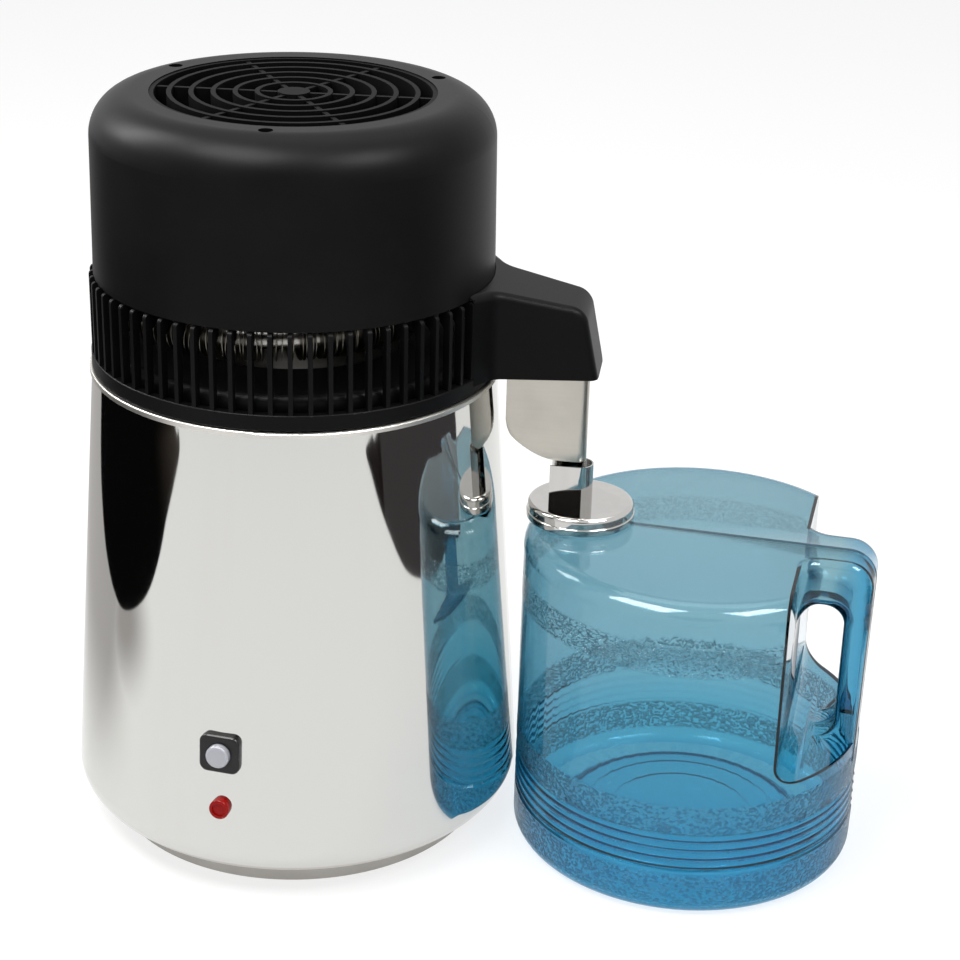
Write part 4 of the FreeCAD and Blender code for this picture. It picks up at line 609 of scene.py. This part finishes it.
def curved(before, here, after, beyond, steps):
    # an even curve from here up to the next point
    for step in range(steps):
        t = step / steps
        yield (2 * here + (after - before) * t
               + (2 * before - 5 * here + 4 * after - beyond) * t * t
               + (3 * here - before - 3 * after + beyond) * t * t * t) / 2


def smoothLine(points, steps):
    line = [points[0] * 2 - points[1], *points, points[-1] * 2 - points[-2]]
    smooth = []
    for index in range(1, len(line) - 2):
        smooth += curved(*line[index - 1:index + 3], steps)
    return smooth + [points[-1]]


def smoothLoop(corners, steps=6):
    smooth = []
    for index in range(len(corners)):
        around = (Vector(corners[(index + shift) % len(corners)]) for shift in (-1, 0, 1, 2))
        smooth += (point * mm for point in curved(*around, steps))
    return smooth


blade = {
    "half": 4.4,
    "gauge": 0.8,
    "curve": ((0.0, 20.4), (0.9, 15.8), (3.1, 11.6), (8.2, 7.2), (14.8, 3.2), (21.0, 0.9), (27.0, 0.0)),
    "curveSteps": 5,
    "foldSteps": 14,
    "rows": 12,
    "edge": 0.15,
    "edgeSteps": 2,
    "edgeAngle": 50,
}


def makeBlade():
    low, high = (Vector(corner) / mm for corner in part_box("spout_blade"))
    middle = (low.y + high.y) / 2
    corners = [Vector((low.x + across, low.z + rise)) for across, rise in blade["curve"]]
    edge = smoothLine(corners, blade["curveSteps"])
    bend = blade["half"] - blade["gauge"] / 2
    plan = [(point.x, -bend, point.y) for point in edge]
    foldAt = high.x - blade["half"]
    plan.append((foldAt, -bend, low.z))
    for step in range(1, blade["foldSteps"]):
        angle = math.pi * (step / blade["foldSteps"] - 0.5)
        plan.append((foldAt + bend * math.cos(angle), bend * math.sin(angle), low.z))
    plan.append((foldAt, bend, low.z))
    plan += [(point.x, bend, point.y) for point in reversed(edge)]
    rows = blade["rows"]
    mesh = bmesh.new()
    columns = []
    for across, depth, foot in plan:
        column = []
        for row in range(rows + 1):
            height = foot + (high.z - foot) * row / rows
            column.append(mesh.verts.new(Vector((across, middle + depth, height)) * mm))
        columns.append(column)
    for left, right in zip(columns, columns[1:]):
        for row in range(rows):
            mesh.faces.new((left[row], right[row], right[row + 1], left[row + 1]))
    data = bpy.data.meshes.new("bladeSheet")
    mesh.to_mesh(data)
    mesh.free()
    sheet = addPiece("bladeSheet", data)
    solid = sheet.modifiers.new("gauge", "SOLIDIFY")
    solid.thickness = blade["gauge"] * mm
    solid.offset = 0
    solid.use_even_offset = True
    soften = sheet.modifiers.new("edge", "BEVEL")
    soften.width = blade["edge"] * mm
    soften.segments = blade["edgeSteps"]
    soften.angle_limit = math.radians(blade["edgeAngle"])
    wear(sheet, ownFinishes["spout_blade"])
    smoothPiece(sheet, 40)
    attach(sheet, "head")
    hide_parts("spout_blade")


makeBlade()
print("blade folded")


ribs = {
    "low": 25.5,
    "high": 45.5,
    "pitch": 5.0,
    "depth": 1.0,
    "backShare": 0.5,
    "fadeAcross": 80.0,
    "blend": 1.2,
    "step": 0.625,
    "sector": 2.5,
    "wall": (12.0, 154.0),
    "gauge": 1.8,
    "slack": 0.25,
    "drumFrom": 84.8,
    "upright": 0.3,
    "lean": 0.4,
    "seamHalf": 0.8,
    "seamRise": 0.3,
    "seamFrom": 12.0,
    "seamNear": 30.0,
    "mouthClear": 28.0,
    "neckTop": 175.6,
    "lipDepth": 0.1,
}


def ownCopy(node):
    # a node's own mesh, with its doubled points merged
    mesh = bmesh.new()
    mesh.from_mesh(nodes[node].data)
    bmesh.ops.remove_doubles(mesh, verts=mesh.verts, dist=joinWithin)
    return mesh


def cutFaces(mesh, faces, point, normal):
    # a cut through these faces only, in a fixed order
    region = dict.fromkeys(faces)
    for face in faces:
        region.update(dict.fromkeys([*face.verts, *face.edges]))
    bmesh.ops.bisect_plane(mesh, geom=list(region), dist=1e-7, plane_co=point, plane_no=normal)


def outerSkin(mesh):
    # the faces outside, reached from the widest one without passing over the lip
    mesh.faces.ensure_lookup_table()
    lip = (ribs["neckTop"] - ribs["lipDepth"]) * mm
    start = max(mesh.faces, key=lambda face: face.calc_center_median().xy.length)
    seen = {start: True}
    front = [start]
    while front:
        face = front.pop()
        for edge in face.edges:
            for other in edge.link_faces:
                if other in seen:
                    continue
                centre = other.calc_center_median()
                if centre.z > lip and other.normal.z > 0.9:
                    continue
                seen[other] = True
                front.append(other)
    return seen


def wallRadius(height):
    return (jugPlace["radius"] - ribs["lean"] * height / (jugPlace["top"] * mm)) * mm


def ribDepth(height):
    z = height / mm
    if z < ribs["low"]:
        share = max(0.0, 1 - (ribs["low"] - z) / ribs["blend"])
    elif z > ribs["high"]:
        share = max(0.0, 1 - (z - ribs["high"]) / ribs["blend"])
    else:
        phase = 2 * math.pi * (z - ribs["low"]) / ribs["pitch"]
        return ribs["depth"] * (0.5 + 0.5 * math.cos(phase))
    return ribs["depth"] * share * share * (3 - 2 * share)


def behind(place):
    # 0 at the jug's front, 1 at its back
    return max(0.0, min(1.0, 0.5 + place.y / (ribs["fadeAcross"] * mm)))


def makeJug():
    mesh = ownCopy("jug_body")
    mesh.transform(jugFrame.inverted())
    low, high = (edge * mm for edge in ribs["wall"])

    def onDrum(vertex):
        reach = vertex.co.xy.length
        if not low <= vertex.co.z <= high:
            return None
        for inset in (0.0, ribs["gauge"] * mm):
            if abs(reach - wallRadius(vertex.co.z) + inset) < ribs["slack"] * mm:
                return inset
        return None

    def drumFaces():
        return [face for face in mesh.faces
                if all(vertex.co.xy.length > ribs["drumFrom"] * mm for vertex in face.verts)
                and abs(face.normal.z) < ribs["upright"]]

    for index in range(int(180 / ribs["sector"])):
        angle = math.radians(index * ribs["sector"])
        cutFaces(mesh, drumFaces(), (0, 0, 0), (math.cos(angle), math.sin(angle), 0))
    height = ribs["low"] - ribs["blend"]
    while height < ribs["high"] + ribs["blend"] + 0.01:
        cutFaces(mesh, drumFaces(), (0, 0, height * mm), (0, 0, 1))
        height += ribs["step"]
    for vertex in mesh.verts:
        inset = onDrum(vertex)
        if inset is not None:
            depth = ribDepth(vertex.co.z) * (1 - ribs["backShare"] * behind(vertex.co)) * mm
            reach = wallRadius(vertex.co.z) - inset - depth
            vertex.co.xy = vertex.co.xy.normalized() * reach
    mesh.normal_update()
    for share in (-1, -0.5, 0, 0.5, 1):
        near = [face for face in outerSkin(mesh)
                if min(abs(vertex.co.y) for vertex in face.verts) < ribs["seamNear"] * mm]
        cutFaces(mesh, near, (0, share * ribs["seamHalf"] * mm, 0), (0, 1, 0))
    mesh.normal_update()
    skin = {vertex for face in outerSkin(mesh) for vertex in face.verts}
    mouth = Vector((-jugPlace["offset"] * mm, 0))
    moves = []
    for vertex in skin:
        share = 1 - abs(vertex.co.y) / (ribs["seamHalf"] * mm)
        clear = (vertex.co.xy - mouth).length > ribs["mouthClear"] * mm
        if share > 0.01 and clear and vertex.co.z > ribs["seamFrom"] * mm:
            moves.append((vertex, vertex.normal * share * ribs["seamRise"] * mm))
    for vertex, move in moves:
        vertex.co += move
    bmesh.ops.triangulate(mesh, faces=mesh.faces)
    mesh.transform(jugFrame)
    data = bpy.data.meshes.new("jugDrum")
    mesh.to_mesh(data)
    mesh.free()
    if "custom_normal" in data.attributes:
        data.attributes.remove(data.attributes["custom_normal"])
    jug = addPiece("jugDrum", data)
    data.materials.clear()
    data.materials.append(finishes["blue_plastic"])
    smoothPiece(jug, 35)
    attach(jug, "jug")
    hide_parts("jug_body")
    print("jug with ribs and seam:", len(data.polygons), "faces")


makeJug()


studio = {
    "floorGlow": 0.76,
    "floorWhite": 0.86,
    "floorSeen": 0.30,
    "skyPlain": 0.40,
    "skySeen": 1.0,
    "camera": (0.2168, -1.0029, 0.6287),
    "tilt": (66.2147, -1.4363, 7.6588),
    "lens": 82.708,
    "floorReach": 8.0,
}


def seenDirectly(tree):
    kinds = ("Camera", "Glossy", "Transmission")
    camera, glossy, through = (tree.node("LightPath", output=f"Is {kind} Ray") for kind in kinds)
    return combine("MAXIMUM", combine("MAXIMUM", camera, glossy), through)


def makeWorld():
    world = bpy.data.worlds.new("studio")
    bpy.context.scene.world = world
    world.use_nodes = True
    tree = Tree(world.node_tree)
    seen = seenDirectly(tree)
    strength = studio["skyPlain"] + (studio["skySeen"] - studio["skyPlain"]) * seen
    back = tree.node("Background", {}, {"Color": grey(1), "Strength": strength})
    tree.node("OutputWorld", {}, {"Surface": back})


def rectangle(wide, deep):
    return [(-wide, -deep), (wide, -deep), (wide, deep), (-wide, deep)]


def flatPiece(name, corners, height):
    mesh = bpy.data.meshes.new(name)
    mesh.from_pydata([(x, y, height) for x, y in corners], [], [range(len(corners))])
    return addPiece(name, mesh)


def makeFloor():
    reach = studio["floorReach"]
    floor = flatPiece("floor", rectangle(reach, reach), 0)
    finish = Finish("paleFloor")
    paper = finish.grain(3, 2)
    tone = finish.shade(paper, grey(studio["floorWhite"]), grey(studio["floorWhite"] - 0.02))
    lit = finish.node("BsdfDiffuse", {}, {"Color": tone})
    faint = finish.node("BsdfDiffuse", {}, {"Color": grey(studio["floorSeen"])})
    glow = finish.node("Emission", {}, {"Color": grey(1), "Strength": studio["floorGlow"]})
    both = finish.node("AddShader", {}, {0: faint, 1: glow})
    wear(floor, finish.close(finish.node("MixShader", {}, {0: seenDirectly(finish), 1: lit, 2: both})))


# outlines on the floor that the steel wall mirrors as its dark shapes, in millimetres
darkCards = {
    "darkCardLeft": (
        (-397, -60), (-415, -149), (-443, -217), (-492, -289), (-553, -364), (-603, -448),
        (-647, -528), (-685, -562), (-735, -570), (-800, -545), (-1700, -520), (-1700, 1600),
        (-1000, 820), (-800, 500), (-647, 366), (-548, 273), (-474, 154), (-434, 70), (-409, 1),
    ),
    "darkCardRight": (
        (529, 11), (521, -70), (518, -152), (524, -221), (541, -273), (572, -343), (600, -415),
        (651, -540), (674, -606), (699, -635), (764, -613), (811, -574), (1300, -520),
        (1400, -100), (1100, 260), (831, 228), (715, 186), (657, 163), (598, 129), (551, 104),
    ),
}
cards = {
    "darkLift": 0.002,
    "black": grey(0.003),
    "brown": rgb(0.045, 0.036, 0.030),
    "right": rgb(0.014, 0.011, 0.010),
    "strip": rgb(0.058, 0.052, 0.055),
    "nearEnd": (-300, -550),
    "nearSides": (720, 850),
    "sides": (-100, 100),
    "stripSlope": 0.752,
    "stripAt": 54,
    "stripSoft": (-4, 4),
    "grey": rgb(0.48, 0.46, 0.45),
    "greyLift": 0.001,
    "greyCorners": ((-1.8, -1.2), (-0.08, -1.2), (-0.08, 1.6), (-1.8, 1.6)),
    "leftShade": 0.9,
    "leftFrom": (80, 320),
    "leftBeyond": (-120, 0),
    "tipShade": (-385, -75),
    "tipReach": (20, 150),
    "camera": rgb(0.012, 0.010, 0.009),
    "cameraStand": 1.25,
    "cameraWide": 0.42,
    "cameraTall": 0.24,
    "cameraUp": (0, 0.5, 0.86),
    "cameraSides": 32,
}


def hang(card, material):
    # seen only in the gloss of the object
    wear(card, material)
    card.visible_camera = False
    card.visible_diffuse = False
    card.visible_shadow = False
    card.visible_volume_scatter = False


def makeDarkCards():
    finish = Finish("darkCard")
    x, y, z = finish.parts(finish.place)
    near = y.past(cards["nearEnd"]) * (1 - abs(x).past(cards["nearSides"]))
    strip = (y + cards["stripSlope"] * x - cards["stripAt"] * mm).past(cards["stripSoft"])
    left = finish.shade(near, cards["black"], cards["brown"])
    right = finish.shade(strip, cards["right"], cards["strip"])
    tone = finish.shade(x.past(cards["sides"]), left, right)
    dark = finish.close(finish.node("Emission", {}, {"Color": tone, "Strength": 1.0}))
    for name, corners in darkCards.items():
        hang(flatPiece(name, smoothLoop(corners), cards["darkLift"]), dark)


def makeGreyCard():
    finish = Finish("greyCard")
    x, y, z = finish.parts(finish.place)
    tipX, tipY = (place * mm for place in cards["tipShade"])
    away = ((x - tipX) ** 2 + (y - tipY) ** 2) ** 0.5
    leftSide = cards["leftShade"] * (0 - x).past(cards["leftFrom"]) * y.past(cards["leftBeyond"])
    cover = combine("MAXIMUM", leftSide, 1 - away.past(cards["tipReach"]))
    soft = finish.node("Emission", {}, {"Color": cards["grey"], "Strength": 1.0})
    clear = finish.node("BsdfTransparent")
    material = finish.close(finish.node("MixShader", {}, {0: cover, 1: clear, 2: soft}))
    hang(flatPiece("greyCard", cards["greyCorners"], cards["greyLift"]), material)


def makeCameraCard():
    finish = Finish("cameraCard")
    dark = finish.node("Emission", {}, {"Color": cards["camera"], "Strength": 1.0})
    centre = Vector(studio["camera"]) * cards["cameraStand"]
    right, up = Vector((1, 0, 0)), Vector(cards["cameraUp"])
    sides = cards["cameraSides"]
    loop = []
    for step in range(sides):
        angle = 2 * math.pi * step / sides
        across = right * cards["cameraWide"] * math.cos(angle)
        loop.append(centre + across + up * cards["cameraTall"] * math.sin(angle))
    mesh = bpy.data.meshes.new("cameraCard")
    mesh.from_pydata(loop, [], [range(sides)])
    hang(addPiece("cameraCard", mesh), finish.close(dark))


# a lamp with a front shows in the gloss as that plain white panel
lamps = {
    "keyLamp": {
        "place": (-0.42, -0.62, 1.62), "size": (1.0, 0.42), "power": 14, "aimAt": 0.2, "front": True},
    "fillLamp": {
        "place": (0.98, -0.55, 1.50), "size": (0.7, 0.36), "power": 8, "aimAt": 0.2, "front": True},
    "sideLamp": {
        "place": (-1.14, 0.29, 1.15), "size": (0.40, 0.5), "power": 6, "aimAt": 0.2, "front": True},
    "topLamp": {
        "place": (0.1, 0.7, 2.1), "size": (1.6, 1.0), "power": 9, "aimAt": 0.08, "front": False},
}
softbox = {"glint": 22.0, "stretch": 1.7, "aimHeight": 0.17}


def makeLamps():
    finish = Finish("softbox")
    glow = finish.node("Emission", {}, {"Color": grey(1), "Strength": softbox["glint"]})
    bright = finish.close(glow)
    for name, lamp in lamps.items():
        light = bpy.data.lights.new(name, "AREA")
        light.shape = "RECTANGLE"
        light.size, light.size_y = lamp["size"]
        light.energy = lamp["power"]
        holder = bpy.data.objects.new(name, light)
        bpy.context.scene.collection.objects.link(holder)
        holder.location = lamp["place"]
        holder.visible_glossy = not lamp["front"]
        towards = Vector((lamp["aimAt"], 0, softbox["aimHeight"])) - holder.location
        holder.rotation_euler = towards.to_track_quat("-Z", "Y").to_euler()
        if not lamp["front"]:
            continue
        wide, tall = lamp["size"][0] / 2, softbox["stretch"] * lamp["size"][1] / 2
        panel = flatPiece(name + "Front", rectangle(wide, tall), 0)
        stood = holder.rotation_euler.to_matrix().to_4x4()
        panel.data.transform(Matrix.Translation(holder.location) @ stood)
        hang(panel, bright)


def makeCamera():
    lens = bpy.data.cameras.new("camera")
    camera = bpy.data.objects.new("camera", lens)
    bpy.context.scene.collection.objects.link(camera)
    camera.location = studio["camera"]
    camera.rotation_euler = [math.radians(angle) for angle in studio["tilt"]]
    lens.sensor_width = 36
    lens.lens = studio["lens"]
    lens.clip_end = 50
    bpy.context.scene.camera = camera


makeWorld()
makeFloor()
makeDarkCards()
makeGreyCard()
makeCameraCard()
makeLamps()
makeCamera()
bpy.context.scene.view_settings.view_transform = "Standard"
print("studio ready")
